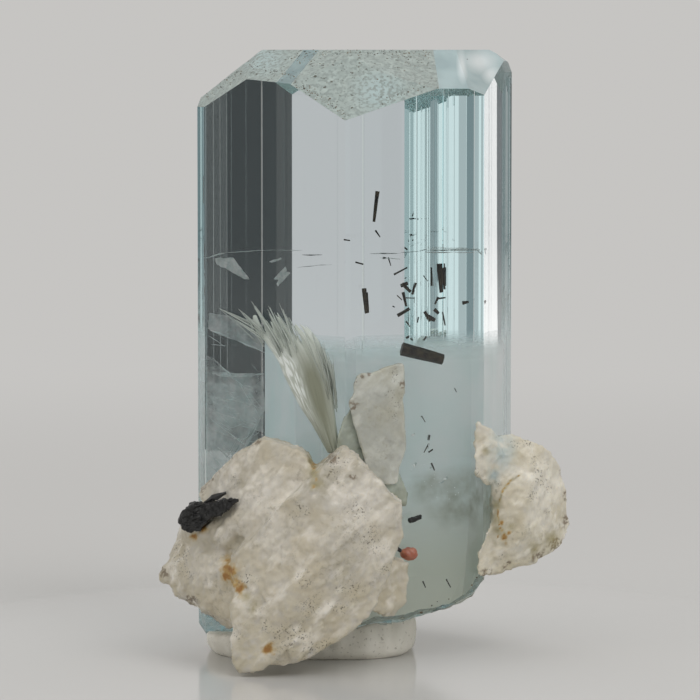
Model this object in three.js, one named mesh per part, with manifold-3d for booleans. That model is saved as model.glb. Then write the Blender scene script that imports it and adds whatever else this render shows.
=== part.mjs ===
// Aquamarine crystal on albite: a clear six-sided beryl prism standing upright, with sugary white albite,
// black schorl and one garnet grown on its lower end, held up by a pad of mineral tack.
// Millimetres, +Z up. Work frame: Z = 0 is the surface it stands on, Y = 0 is the prism's front edge and
// Y grows towards the back. The finished group is moved so that its origin is its box's bottom centre.
import * as THREE from "three";
import { ConvexGeometry } from "three/addons/geometries/ConvexGeometry.js";
import { mergeVertices } from "three/addons/utils/BufferGeometryUtils.js";
import Module from "manifold-3d";

const wasm = await Module();
wasm.setup();

// ---- driving dimensions ----------------------------------------------------------------------------

const TOP = 47.6; // height of the crystal's flat top
const GAP = 0.3; // clearance between neighbouring pieces
const FAR = 80; // half-size of a cutting block, larger than the specimen

// Axis of the prism, and its side faces in order round it: the way each face looks (degrees from +X)
// and how far it stands from the axis. The 200.5 degree face is the narrow one on the left edge.
const AXIS = new THREE.Vector2(0.4, 12.3);
const SIDES = [
  { azimuth: -13.2, distance: 11.63 },
  { azimuth: 50.5, distance: 10.07 },
  { azimuth: 110.5, distance: 11.21 },
  { azimuth: 170.5, distance: 12.07 },
  { azimuth: 200.5, distance: 12.23 },
  { azimuth: 230.5, distance: 9.99 },
  { azimuth: 290.5, distance: 11.25 },
];

// Bevels between the sides and the flat top: the way each looks, its slope from level, and one point
// that it passes through.
const BEVELS = [
  { azimuth: 200.5, slope: 45, through: [-11.5, 9.2, 43.1] },
  { azimuth: 170.5, slope: 36, through: [-12.1, 10.8, 43.8] },
  { azimuth: 238, slope: 30, through: [-6, 4.6, 45.1] },
  { azimuth: 260.5, slope: 45, through: [-0.4, 0, 42.2] },
  { azimuth: 275, slope: 50, through: [-0.4, 0, 42.2] },
  { azimuth: 290.5, slope: 30, through: [5, 2, 44.6] },
  { azimuth: 320.5, slope: 37, through: [10.4, 4, 44.1] },
  { azimuth: -11, slope: 41, through: [11.8, 10, 46.8] },
  { azimuth: 20.5, slope: 28, through: [13, 15, 46.1] },
  { azimuth: 50.5, slope: 30, through: [7.5, 19.5, 45.8] },
  { azimuth: 80.5, slope: 45, through: [1.3, 24.6, 44] },
  { azimuth: 110.5, slope: 30, through: [-4.5, 22.4, 45.4] },
  { azimuth: 140.5, slope: 45, through: [-10.5, 20.2, 43.6] },
];

// Breaks across the crystal's foot, each a plane that looks down, leaning towards its azimuth.
const BREAKS = [
  { azimuth: 0, lean: 10.5, through: [-11.3, 9.5, 0.9] },
  { azimuth: 0, lean: 24.5, through: [3.8, 1.6, 3.7] },
  { azimuth: 95, lean: 20, through: [1.3, 24.6, 6.5] },
];

// Thin crystals on the front faces: thickness and stand-off from the face.
const BLADE_THICKNESS = 1.4;
const FAN_THICKNESS = 0.8;

// Pad of mineral tack: footprint, where its middle is, its corner radius, and how high its rim rises
// above the crystal's foot.
const PAD = { width: 16.6, depth: 15.4, x: -3.1, y: 10.7, corner: 5, bulge: 0.7, height: 4.6, rim: 0.6 };

// ---- solids ----------------------------------------------------------------------------------------

function solidOf(geometry) {
  const bare = geometry.clone();
  bare.deleteAttribute("normal");
  bare.deleteAttribute("uv");
  const merged = mergeVertices(bare, 1e-4);
  const vertProperties = new Float32Array(merged.attributes.position.array);
  const triVerts = new Uint32Array(merged.index.array);
  return new wasm.Manifold(new wasm.Mesh({ numProp: 3, vertProperties, triVerts }));
}

function hull(points) {
  return solidOf(new ConvexGeometry(points.map((p) => new THREE.Vector3(...p))));
}

function joined(solids) {
  return solids.reduce((all, solid) => all.add(solid));
}

// Removes what lies beyond the plane with this outward normal through this point.
function cutBeyond(solid, normal, point) {
  const block = new THREE.BoxGeometry(2 * FAR, 2 * FAR, 2 * FAR);
  const turn = new THREE.Quaternion().setFromUnitVectors(new THREE.Vector3(0, 0, 1), normal);
  const centre = point.clone().addScaledVector(normal, FAR);
  block.applyMatrix4(new THREE.Matrix4().compose(centre, turn, new THREE.Vector3(1, 1, 1)));
  return solid.subtract(solidOf(block));
}

// Unit vector that looks along an azimuth, raised from level by an angle, both in degrees.
function looking(azimuth, raised = 0) {
  const a = THREE.MathUtils.degToRad(azimuth);
  const r = THREE.MathUtils.degToRad(raised);
  return new THREE.Vector3(Math.cos(r) * Math.cos(a), Math.cos(r) * Math.sin(a), Math.sin(r));
}

// A flat crystal that stands parallel to one of the prism's sides: an outline in along-the-face and
// height coordinates, measured from the prism's front edge, with a gap behind it.
function plateOnSide(outline, azimuth, thickness, grow = 0) {
  const shape = new THREE.Shape(outline.map(([along, height]) => new THREE.Vector2(along, height)));
  const plate = new THREE.ExtrudeGeometry(shape, { depth: thickness + 2 * grow, bevelEnabled: false });
  const outward = looking(azimuth);
  const along = new THREE.Vector3(-outward.y, outward.x, 0);
  const up = new THREE.Vector3(0, 0, 1);
  const place = new THREE.Matrix4().makeBasis(along, up, outward);
  place.setPosition(FRONT_EDGE.clone().addScaledVector(outward, GAP - grow));
  return solidOf(plate.applyMatrix4(place));
}

// A solid a little larger than a convex piece, used to cut clearance round it.
function swollen(solid, amount) {
  const { min, max } = solid.boundingBox();
  const low = new THREE.Vector3(...min);
  const high = new THREE.Vector3(...max);
  const middle = low.clone().add(high).multiplyScalar(0.5);
  const size = high.clone().sub(low);
  const factors = size.toArray().map((side) => 1 + (2 * amount) / side);
  const back = middle.toArray().map((m, i) => m * (1 - factors[i]));
  return solid.scale(factors).translate(back);
}

// ---- aquamarine crystal ----------------------------------------------------------------------------

// Where two neighbouring sides of the prism meet, with every side moved out by grow.
function prismCorner(one, next, grow) {
  const a = looking(one.azimuth);
  const b = looking(next.azimuth);
  const da = one.distance + grow;
  const db = next.distance + grow;
  const det = a.x * b.y - a.y * b.x;
  const x = (da * b.y - db * a.y) / det;
  const y = (db * a.x - da * b.x) / det;
  return new THREE.Vector2(AXIS.x + x, AXIS.y + y);
}

function prismOutline(grow) {
  return SIDES.map((side, i) => prismCorner(side, SIDES[(i + 1) % SIDES.length], grow));
}

function crystalSolid(grow = 0) {
  const prism = new THREE.ExtrudeGeometry(new THREE.Shape(prismOutline(grow)), {
    depth: TOP + 2 * grow,
    bevelEnabled: false,
  });
  prism.translate(0, 0, -grow);
  let solid = solidOf(prism);
  for (const { azimuth, slope, through } of BEVELS) {
    const normal = looking(azimuth, 90 - slope);
    const point = new THREE.Vector3(...through).addScaledVector(normal, grow);
    solid = cutBeyond(solid, normal, point);
  }
  for (const { azimuth, lean, through } of BREAKS) {
    const normal = looking(azimuth, lean - 90);
    const point = new THREE.Vector3(...through).addScaledVector(normal, grow);
    solid = cutBeyond(solid, normal, point);
  }
  return solid;
}

const outline = prismOutline(0);
const frontCorner = outline[SIDES.length - 2];
const FRONT_EDGE = new THREE.Vector3(frontCorner.x, frontCorner.y, 0);
const [, , , , , FRONT_LEFT, FRONT_RIGHT] = SIDES.map((side) => side.azimuth);

// ---- thin crystals on the front faces --------------------------------------------------------------

// Tabular albite crystal with a slanting head, standing on the front right face.
function bladeSolid(grow = 0) {
  const outlineOnFace = [
    [0.4 - grow, 20.6],
    [0.7 - grow, 22.7 + grow],
    [2.3, 23.2 + grow],
    [4.7 + grow, 23.7 + grow],
    [4.8 + grow, 21.9],
    [4.1 + grow, 19.2],
    [4.4 + grow, 16.6],
    [4.1 + grow, 13.8 - grow],
    [2.6 - grow, 13.8 - grow],
    [1.9 - grow, 16.4],
    [1.2 - grow, 18.9],
  ];
  return plateOnSide(outlineOnFace, FRONT_RIGHT, BLADE_THICKNESS, grow);
}

// Fan of fibres on the front left face: a solid core low down, frayed into points at its head.
function fanSolid(grow = 0) {
  const outlineOnFace = [
    [-1.5 + grow, 16.6 - grow],
    [-0.6 + grow, 18.2],
    [-1.9 + grow, 22.2],
    [-4.2 + grow, 25.6],
    [-5.8 + grow, 27.8 + grow],
    [-6.9, 26.2 + grow],
    [-8, 27.8 + grow],
    [-8.6, 26.3 + grow],
    [-9.4, 27.8 + grow],
    [-10, 26.6 + grow],
    [-12.2 - grow, 27.3 + grow],
    [-9.4 - grow, 25.8],
    [-7.6 - grow, 24.2],
    [-6 - grow, 22.2],
    [-4.5 - grow, 20.1],
    [-2.9 - grow, 16.6 - grow],
  ];
  return plateOnSide(outlineOnFace, FRONT_LEFT, FAN_THICKNESS, grow);
}

// ---- albite ----------------------------------------------------------------------------------------

// The front mass: cleavage blocks grown into one another across the front left of the crystal's foot.
const FRONT_BLOCKS = {
  main: [
    [-0.4, -4.6, 17.6],
    [3.9, -3.9, 13.2],
    [4.1, -3.4, 10.6],
    [3, -3.6, 9.3],
    [1.7, -3.9, 4.8],
    [0, -4.2, 3.2],
    [-3.8, -4.8, 1],
    [-6.3, -5, 0.9],
    [-8.7, -4, 4],
    [-9.2, -3.4, 9],
    [-3, -5.4, 15.4],
    [-2, -6.5, 10.5],
    [-4.5, -6.3, 5.5],
    [0.4, -5.9, 11.8],
    [-0.4, 0.4, 17.3],
    [3.6, 2.2, 12.8],
    [2.6, 2, 9.2],
    [1.2, 1.6, 5],
    [-3.8, 2.3, 1.6],
    [-6.4, 2.3, 1.8],
    [-8.6, 2.4, 4.4],
    [-8.8, 5, 9],
    [-3, 3, 15.4],
  ],
  upperLeft: [
    [-11.7, 3.6, 12.8],
    [-10.2, 2, 15.2],
    [-8.9, 0.8, 16.6],
    [-6.8, -1, 17.9],
    [-5, -2, 17.6],
    [-3.5, -2.6, 16.9],
    [-2.6, -3, 15.4],
    [-9.6, -1.6, 11],
    [-6, -3.9, 12.6],
    [-4, -4.2, 9],
    [-11.9, 9.2, 12.6],
    [-9.6, 8, 15],
    [-6.4, 5, 17.4],
    [-3, 3, 16.4],
    [-9, 5, 9],
  ],
  spur: [
    [-14.9, 3.4, 6.4],
    [-14, 2.8, 8],
    [-12.8, 2.4, 9.6],
    [-11.8, 2, 10.8],
    [-13.8, 3, 5.4],
    [-11.2, 2, 4.1],
    [-9.2, 0.6, 2.8],
    [-11.4, -0.8, 8.6],
    [-12.6, 0.4, 6.4],
    [-9, -3, 8],
    [-9, -2.8, 4],
    [-14.4, 7.6, 6.8],
    [-13.4, 9.4, 9.2],
    [-12.6, 10.4, 11.6],
    [-12.8, 9.4, 5.2],
    [-9, 6, 4.2],
    [-9, 6, 11],
  ],
  foot: [
    [-9, -4.4, 6],
    [-6.2, -5.1, 6],
    [-9, -4.6, 1],
    [-8.4, -4.8, 0.3],
    [-6.6, -5.2, 0.5],
    [-6, -4.9, 1.4],
    [-9, -0.4, 6],
    [-6.2, -0.4, 6],
    [-8.7, -1.2, 0.7],
    [-6.4, -1.2, 0.8],
  ],
  grains: [
    [1.6, -2.6, 9],
    [4.6, -0.4, 8.2],
    [4.3, -0.6, 5.2],
    [3.2, -0.8, 4],
    [1.4, -2.8, 4.8],
    [4.3, 1.2, 7.8],
    [3.9, 1.2, 5],
    [1.8, 1.2, 5],
    [2, 1.2, 8.8],
  ],
};

// The right-hand knob: a rounded block on the right side, with a thin spike up the prism's edge.
const RIGHT_BLOCKS = {
  knob: [
    [11, 4, 17.6],
    [12.6, 4.2, 17.7],
    [14, 4.4, 17.2],
    [15.6, 5.4, 16.4],
    [16.4, 6, 15.2],
    [16.9, 6.4, 13.4],
    [17.3, 7.4, 10.2],
    [16.6, 6.8, 8.4],
    [14.3, 5.4, 7.2],
    [11.6, 4, 6.8],
    [11.2, 2.9, 9.6],
    [11.8, 2.6, 13],
    [13.6, 3, 10.4],
    [13.8, 3, 14],
    [16.2, 11.6, 12.6],
    [15, 12.6, 15],
    [13.4, 13.6, 10],
    [13, 13.4, 15.4],
    [12.4, 11, 7.4],
    [11, 8, 12],
  ],
  spike: [
    [9.7, 2.6, 18.9],
    [10.9, 2.8, 18.4],
    [11.8, 3.2, 16.4],
    [9.5, 2.4, 15],
    [10.6, 3.2, 13.6],
    [9.9, 3.5, 18.7],
    [11.4, 5.4, 17.6],
    [10.2, 3.6, 14.4],
    [11.6, 5.4, 14],
  ],
  root: [
    [10, 3, 6.6],
    [9.9, 2.7, 8.6],
    [11, 3, 11],
    [12, 4, 11],
    [12.6, 5, 7],
    [11.4, 6, 6.6],
    [10.6, 5.4, 8],
  ],
};

// ---- small crystals --------------------------------------------------------------------------------

// Knobbly black schorl at the left: a stubby end of joined lumps that runs out into a point.
const SCHORL_BLOCKS = {
  head: [
    [-13.3, 0, 11.4],
    [-12.9, -0.6, 12.2],
    [-11.9, -0.9, 13],
    [-10.6, -1, 12.9],
    [-12.6, -0.7, 10.6],
    [-11.6, -0.9, 10.5],
    [-10.5, -1, 11.6],
    [-13.1, 1.2, 11.3],
    [-12.2, 1.2, 12.7],
    [-12.2, 1.2, 10.6],
    [-10.8, 0.6, 12.7],
    [-10.8, 0.6, 11.4],
  ],
  shaft: [
    [-11.2, -1, 13],
    [-11.2, -1, 11.2],
    [-9.4, -2, 11.9],
    [-8.8, -2.3, 13.6],
    [-8.5, -2.3, 13.2],
    [-11, 0.4, 12.9],
    [-11, 0.4, 11.3],
    [-9, -1.2, 13.2],
  ],
};

// A short prism of six sides that lies across the line from one end to the other.
function splinterSolid(from, to, radius) {
  const start = new THREE.Vector3(...from);
  const run = new THREE.Vector3(...to).sub(start);
  const prism = new THREE.CylinderGeometry(radius * 0.8, radius, run.length(), 6);
  const turn = new THREE.Quaternion().setFromUnitVectors(
    new THREE.Vector3(0, 1, 0),
    run.clone().normalize(),
  );
  prism.applyQuaternion(turn);
  prism.translate(...start.addScaledVector(run, 0.5).toArray());
  return solidOf(prism);
}

function garnetSolid() {
  const grain = new THREE.DodecahedronGeometry(0.62);
  grain.scale(1.06, 0.9, 0.9);
  grain.rotateZ(0.4);
  grain.translate(4.6, 0.8, 9.1);
  return solidOf(grain);
}

// ---- pad of mineral tack ---------------------------------------------------------------------------

// A pressed lump with rounded sides, squeezed under the slanting foot so that a low rim rises round it.
function padSolid() {
  const rings = [
    { z: 0, inset: PAD.bulge },
    { z: 0.5, inset: 0.2 },
    { z: 1.3, inset: 0 },
    { z: 2.4, inset: 0.1 },
    { z: 3.4, inset: 0.5 },
    { z: PAD.height, inset: 1.6 },
  ];
  const arcSteps = 6;
  const points = [];
  for (const { z, inset } of rings) {
    const radius = PAD.corner - inset;
    for (const [sx, sy] of [[1, 1], [-1, 1], [-1, -1], [1, -1]]) {
      for (let step = 0; step <= arcSteps; step += 1) {
        const turn = (step / arcSteps) * (Math.PI / 2);
        const x = PAD.width / 2 - PAD.corner + radius * Math.cos(turn);
        const y = PAD.depth / 2 - PAD.corner + radius * Math.sin(turn);
        points.push([PAD.x + sx * x, PAD.y + sy * y, z]);
      }
    }
  }
  const foot = BREAKS[0];
  const up = looking(foot.azimuth, foot.lean - 90).negate();
  const rim = new THREE.Vector3(...foot.through).addScaledVector(up, PAD.rim);
  return cutBeyond(hull(points), up, rim);
}

// ---- assembly --------------------------------------------------------------------------------------

const crystal = crystalSolid();
const clearOfCrystal = crystalSolid(GAP);
const blade = bladeSolid();
const fan = fanSolid();
const schorl = joined(Object.values(SCHORL_BLOCKS).map(hull));
const upperSplinter = splinterSolid([4.55, 0.75, 11.3], [5.5, 1.1, 11.6], 0.24);
const lowerSplinter = splinterSolid([3.3, -1.2, 9.55], [3.9, -0.9, 9.2], 0.2);
const garnet = garnetSolid();
const pad = padSolid().subtract(clearOfCrystal);

const clearance = joined([
  clearOfCrystal,
  bladeSolid(GAP),
  fanSolid(GAP),
  ...Object.values(SCHORL_BLOCKS).map((block) => swollen(hull(block), GAP)),
  swollen(upperSplinter, GAP),
  swollen(lowerSplinter, GAP),
  swollen(garnet, GAP),
]);
const albiteFront = joined(Object.values(FRONT_BLOCKS).map(hull)).subtract(clearance);
const albiteRight = joined(Object.values(RIGHT_BLOCKS).map(hull)).subtract(clearOfCrystal);

function finish(color, roughness, extra = {}) {
  return new THREE.MeshStandardMaterial({ color, roughness, metalness: 0, ...extra });
}

const beryl = finish("#a9c6c9", 0.05, { transparent: true, opacity: 0.5 });
const albite = finish("#c4bdb2", 0.75);
const bladeAlbite = finish("#b9b8ac", 0.7);
const fibre = finish("#9aa396", 0.4);
const blackTourmaline = finish("#171614", 0.35);
const orangeGarnet = finish("#b0644a", 0.35);
const tack = finish("#b9b7b0", 0.8);

function meshOf(name, solid, material) {
  const { vertProperties, triVerts, numProp } = solid.getMesh();
  const geometry = new THREE.BufferGeometry();
  const positions = new Float32Array((vertProperties.length / numProp) * 3);
  for (let i = 0; i < positions.length / 3; i += 1) {
    positions.set(vertProperties.subarray(i * numProp, i * numProp + 3), i * 3);
  }
  geometry.setAttribute("position", new THREE.BufferAttribute(positions, 3));
  geometry.setIndex(new THREE.BufferAttribute(new Uint32Array(triVerts), 1));
  const mesh = new THREE.Mesh(geometry, material);
  mesh.name = name;
  return mesh;
}

const group = new THREE.Group();
group.add(
  meshOf("aquamarine_crystal", crystal, beryl),
  meshOf("albite_front", albiteFront, albite),
  meshOf("albite_right", albiteRight, albite),
  meshOf("albite_blade", blade, bladeAlbite),
  meshOf("feathered_blade", fan, fibre),
  meshOf("schorl_crystal", schorl, blackTourmaline),
  meshOf("schorl_splinter_upper", upperSplinter, blackTourmaline),
  meshOf("schorl_splinter_lower", lowerSplinter, blackTourmaline),
  meshOf("garnet", garnet, orangeGarnet),
  meshOf("putty_pad", pad, tack),
);

const box = new THREE.Box3().setFromObject(group);
const boxCentre = box.getCenter(new THREE.Vector3());
group.position.set(-boxCentre.x, -boxCentre.y, -box.min.z);

export default group;
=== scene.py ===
import math
import random

import bmesh
import bpy
from mathutils import Matrix, Vector, noise
from mathutils.bvhtree import BVHTree


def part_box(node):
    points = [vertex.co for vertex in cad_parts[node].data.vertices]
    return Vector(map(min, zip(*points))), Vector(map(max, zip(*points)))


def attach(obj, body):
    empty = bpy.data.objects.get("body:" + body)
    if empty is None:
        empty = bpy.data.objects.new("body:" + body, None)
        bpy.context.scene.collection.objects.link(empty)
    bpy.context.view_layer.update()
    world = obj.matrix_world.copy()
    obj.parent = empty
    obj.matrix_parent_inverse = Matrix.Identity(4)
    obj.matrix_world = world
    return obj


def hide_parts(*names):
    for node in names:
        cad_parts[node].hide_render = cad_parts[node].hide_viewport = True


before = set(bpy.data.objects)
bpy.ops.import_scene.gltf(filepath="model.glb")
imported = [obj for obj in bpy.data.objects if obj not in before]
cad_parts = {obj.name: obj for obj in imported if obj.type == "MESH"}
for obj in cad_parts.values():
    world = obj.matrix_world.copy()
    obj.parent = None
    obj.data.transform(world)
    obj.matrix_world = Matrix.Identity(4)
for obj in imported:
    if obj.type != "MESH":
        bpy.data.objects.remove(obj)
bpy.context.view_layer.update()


# ---------------------------------------------------------------------------------------------
# The aquamarine. One prism of clear, pale blue beryl with six broad faces and a narrow seventh,
# grown as a single crystal. Its long faces are glassy and striated, the sloping faces of its top
# are partly etched to a fine frost, and its foot is the rough break where it left the vein.
# ---------------------------------------------------------------------------------------------
MM = 0.001
MERGE = 0.02 * MM
CRYSTAL_SEED = 7
BERYL_IOR = 1.577
BERYL_TINT = (0.20, 0.80, 0.87, 1.0)
BERYL_DENSITY = 7.0
HAZE_FROM_INSIDE = 0.15     # the share of a frost's haze that light inside the crystal meets

# The azimuth that each long face looks at, in degrees, with 0 at the right and 270 at the front.
LONG_FACES = {"front_left": 230, "front_right": 290, "right": 347, "back_right": 50,
              "back_left": 110, "left": 170, "left_narrow": 200}
# Leaning growth strips: start and end in mm along the face, anticlockwise, and lean in degrees.
LEANING_STRIPS = {
    "back_left": [(3.5, 3.64, 13), (7.7, 8.45, 1.6), (8.5, 9.25, 1.6), (9.3, 10.1, 1.6)],
    "back_right": [(5.58, 5.8, -2.5), (6.1, 6.6, -2.5), (6.66, 7.5, 2.6), (7.62, 8.5, -2.0),
                   (10.35, 10.48, 6)],
    "front_left": [(0.1, 0.26, 9)],
}
# How many hairline steps cross each face, and from how far along it.
HAIRLINES = {"front_left": (0, 0.4), "front_right": (14, 4.8), "right": (6, 0.5),
             "back_right": (12, 0.5), "back_left": (2, 4.2), "left": (9, 0.4), "left_narrow": (0, 0.3)}
HAIRLINE_WIDTH = 0.025
HAIRLINE_STEP = (0.0006, 0.0022)
GLASSY, ETCHED, BROKEN, CLEAR_TOP, WINDOW = 0, 1, 2, 3, 4
GLASSY_TOPS = (320, 349, 20)    # azimuths of the sloping top faces that stayed glassy
# Edges of the glassy parts that cross the etched top: a point x, z in mm on each edge, the
# edge's direction, the part's width, and its finish.
CLEAR_BANDS = [((-5.0, 47.4), (-0.63, -0.78), 0.95, WINDOW), ((5.35, 47.4), (0.12, -1.0), 9.0, CLEAR_TOP)]
# Middle x, z and half width and height in mm of the paler, bluish places painted on the etched
# faces as light from the bright surround, and of the white highlights painted on the clear faces.
PAINTED_BLUISH_LIGHT = [(-8.1, 46.8, 2.6, 1.5), (1.0, 44.4, 2.4, 2.0)]
PAINTED_HIGHLIGHTS = [(9.1, 46.7, 1.7, 1.1), (7.55, 46.3, 0.5, 1.5), (9.9, 45.7, 0.9, 0.9)]
ETCH_CELL = 0.28
ETCH_RELIEF = 0.035
FOOT_CELL = 0.45
FOOT_RELIEF = 0.55
FOOT_HANG = 1.15        # how far in mm the break hangs lower at most, along its front right edge


def merged_copy(node):
    """A CAD node as a bmesh, its loose triangles joined into one skin."""
    bm = bmesh.new()
    bm.from_mesh(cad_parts[node].data)
    bmesh.ops.remove_doubles(bm, verts=bm.verts, dist=MERGE)
    return bm


def everything(bm):
    return bm.verts[:] + bm.edges[:] + bm.faces[:]


def piece_from(bm, name, *materials, smooth=False):
    """The bmesh as a finished piece that rides on the specimen's one body."""
    mesh = bpy.data.meshes.new(name)
    for face in bm.faces:
        face.smooth = smooth
    bm.to_mesh(mesh)
    bm.free()
    for material in materials:
        mesh.materials.append(material)
    piece = bpy.data.objects.new(name, mesh)
    bpy.context.scene.collection.objects.link(piece)
    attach(piece, "root")
    return piece


def azimuth_of(direction):
    return math.degrees(math.atan2(direction.y, direction.x)) % 360


def turn_between(a, b):
    return abs((a - b + 180) % 360 - 180)


def prism_corners(height):
    """The prism's corners at a height, anticlockwise from above."""
    bm = merged_copy("aquamarine_crystal")
    bmesh.ops.bisect_plane(bm, geom=everything(bm), plane_co=(0, 0, height), plane_no=(0, 0, 1),
                           clear_inner=True, clear_outer=True)
    points = [v.co.copy() for v in bm.verts]
    bm.free()
    middle = sum(points, Vector()) / len(points)
    points.sort(key=lambda p: math.atan2(p.y - middle.y, p.x - middle.x))
    corners = []
    for i, p in enumerate(points):
        before, after = points[i - 1], points[(i + 1) % len(points)]
        if (p - before).to_2d().angle_signed((after - p).to_2d()) < -0.02:
            corners.append(p)
    return corners


def growth_profile(face, length, rng):
    """(place, height) pairs in mm along a long face, for its leaning strips and hairlines."""
    strips = sorted(LEANING_STRIPS.get(face, []))
    profile = []
    for start, end, lean in strips:
        rise = (end - start) * math.tan(math.radians(abs(lean)))
        low_side, high_side = (0, -rise) if lean < 0 else (-rise, 0)
        profile += [(start - 0.02, 0), (start, low_side), (end, high_side), (end + 0.02, 0)]
    count, first = HAIRLINES[face]
    for _ in range(count):
        place = rng.uniform(first, length - 0.3)
        width = HAIRLINE_WIDTH * rng.uniform(0.6, 1.6)
        depth = rng.uniform(*HAIRLINE_STEP)
        if all(place + 3 * width < s - 0.05 or place > e + 0.06 for s, e, _ in strips) and all(
                abs(place - other) > 0.2 for other, _ in profile):
            profile += [(place, 0), (place + width, -depth), (place + 3 * width, 0)]
    return sorted(profile)


def striated_outline(corners, rng):
    """The prism's outline, its corners joined by their faces' growth profiles."""
    outline = []
    for start, end in zip(corners, corners[1:] + corners[:1]):
        along = (end - start).normalized()
        out = along.cross(Vector((0, 0, 1)))
        face = min(LONG_FACES, key=lambda name: turn_between(LONG_FACES[name], azimuth_of(out)))
        outline.append(start.copy())
        for place, height in growth_profile(face, (end - start).length / MM, rng):
            outline.append(start + along * place * MM + out * height * MM)
    return outline


def sloping_faces():
    """Middle and outward normal of each flat of the crystal's top and foot."""
    bm = merged_copy("aquamarine_crystal")
    bmesh.ops.dissolve_limit(bm, angle_limit=math.radians(1), verts=bm.verts, edges=bm.edges)
    flats = [(f.calc_center_median(), f.normal.copy()) for f in bm.faces if abs(f.normal.z) > 0.05]
    bm.free()
    return flats


def crystal_mesh():
    rng = random.Random(CRYSTAL_SEED)
    low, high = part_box("aquamarine_crystal")
    outline = striated_outline(prism_corners((low.z + high.z) / 2), rng)
    bm = bmesh.new()
    foot = bm.faces.new([bm.verts.new((p.x, p.y, low.z - MM)) for p in outline])
    grown = bmesh.ops.extrude_face_region(bm, geom=[foot])
    lifted = [v for v in grown["geom"] if isinstance(v, bmesh.types.BMVert)]
    bmesh.ops.translate(bm, verts=lifted, vec=(0, 0, high.z - low.z + 2 * MM))
    bmesh.ops.recalc_face_normals(bm, faces=bm.faces)
    for middle, normal in sloping_faces():
        cut = bmesh.ops.bisect_plane(bm, geom=everything(bm), plane_co=middle, plane_no=normal,
                                     clear_outer=True)
        rim = [e for e in cut["geom_cut"] if isinstance(e, bmesh.types.BMEdge)]
        glassy = any(turn_between(azimuth_of(normal), a) < 6 for a in GLASSY_TOPS) or normal.z > 0.98
        for face in bmesh.ops.edgeloop_fill(bm, edges=rim)["faces"]:
            face.material_index = BROKEN if normal.z < 0 else CLEAR_TOP if glassy else ETCHED
    bmesh.ops.recalc_face_normals(bm, faces=bm.faces)
    return bm


def clear_bands(bm):
    """Marks off the glassy bands that cross the etched faces of the top."""
    for (x, z), (run, drop), width, finish in CLEAR_BANDS:
        start = Vector((x, 0, z)) * MM
        across = Vector((-drop, 0, run)).normalized()
        for edge in (start, start + across * width * MM):
            faces = [f for f in bm.faces if f.material_index == ETCHED and f.normal.y < 0]
            cut = (faces + list({e for f in faces for e in f.edges})
                   + list({v for f in faces for v in f.verts}))
            bmesh.ops.bisect_plane(bm, geom=cut, plane_co=edge, plane_no=across)
        for face in bm.faces:
            reach = (face.calc_center_median() - start).dot(across)
            if face.material_index == ETCHED and face.normal.y < 0 and 0 < reach < width * MM:
                face.material_index = finish


def work_skin(bm, slot, cell, relief, coarse):
    """Dices the faces of one finish and gives them a hand-worked relief, edges included."""
    low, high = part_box("aquamarine_crystal")
    faces = [f for f in bm.faces if f.material_index == slot]
    for axis in (0, 1):
        place = low[axis]
        while place < high[axis]:
            faces = [f for f in bm.faces if f.material_index == slot]
            edges = {e for f in faces for e in f.edges}
            verts = {v for f in faces for v in f.verts}
            spot = [0, 0, 0]
            spot[axis] = place
            way = [0, 0, 0]
            way[axis] = 1
            bmesh.ops.bisect_plane(bm, geom=faces + list(edges) + list(verts), plane_co=spot, plane_no=way)
            place += cell * MM
    faces = [f for f in bm.faces if f.material_index == slot]
    inner = {v for f in faces for v in f.verts if all(g.material_index == slot for g in v.link_faces)}
    bm.normal_update()
    for v in inner:
        fine = noise.noise(v.co / (0.5 * MM))
        broad = noise.noise(v.co / (coarse * MM) + Vector((7, 3, 1)))
        v.co += v.normal * relief * MM * (0.5 * fine + broad)


def lower_front_edge(bm):
    """Lets the break hang lower along the foot's front right edge."""
    for v in {v for f in bm.faces if f.material_index == BROKEN for v in f.verts}:
        x, y = v.co.x / MM, v.co.y / MM
        before_corner = min(1.0, max(0.0, 9.5 - x))
        toward_front = min(1.0, max(0.0, (3 - y) / 5))
        v.co.z -= min(FOOT_HANG, max(0.0, 0.2 * (x - 0.5))) * before_corner * toward_front * MM


def principled(name, colour=(0.8, 0.8, 0.8), roughness=0.5):
    """A new material, its shader node, and short ways to add a node and a link."""
    material = bpy.data.materials.new(name)
    material.use_nodes = True
    tree = material.node_tree
    skin = tree.nodes["Principled BSDF"]
    skin.inputs["Base Color"].default_value = (*colour, 1)
    skin.inputs["Roughness"].default_value = roughness
    return material, skin, tree.nodes.new, tree.links.new


def grain(new, link, scale, detail=3.0, low=0.35, high=0.65):
    """A 0 to 1 pattern fixed to the piece, its features 1/scale metres across."""
    place = new("ShaderNodeTexCoord")
    pattern = new("ShaderNodeTexNoise")
    pattern.inputs["Scale"].default_value = scale
    pattern.inputs["Detail"].default_value = detail
    link(place.outputs["Object"], pattern.inputs["Vector"])
    spread = new("ShaderNodeMapRange")
    spread.inputs["From Min"].default_value = low
    spread.inputs["From Max"].default_value = high
    link(pattern.outputs[0], spread.inputs["Value"])
    return spread.outputs["Result"]


def blended(new, link, share, first, second):
    """A colour that goes from first to second with share; either may be a socket."""
    mix = new("ShaderNodeMix")
    mix.data_type = "RGBA"
    link(share, mix.inputs["Factor"])
    for socket, value in ((mix.inputs["A"], first), (mix.inputs["B"], second)):
        if isinstance(value, tuple):
            socket.default_value = (*value, 1)
        else:
            link(value, socket)
    return mix.outputs["Result"]


def bumped(new, link, skin, height, strength, distance):
    bump = new("ShaderNodeBump")
    bump.inputs["Strength"].default_value = strength
    bump.inputs["Distance"].default_value = distance
    link(height, bump.inputs["Height"])
    link(bump.outputs["Normal"], skin.inputs["Normal"])


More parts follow.
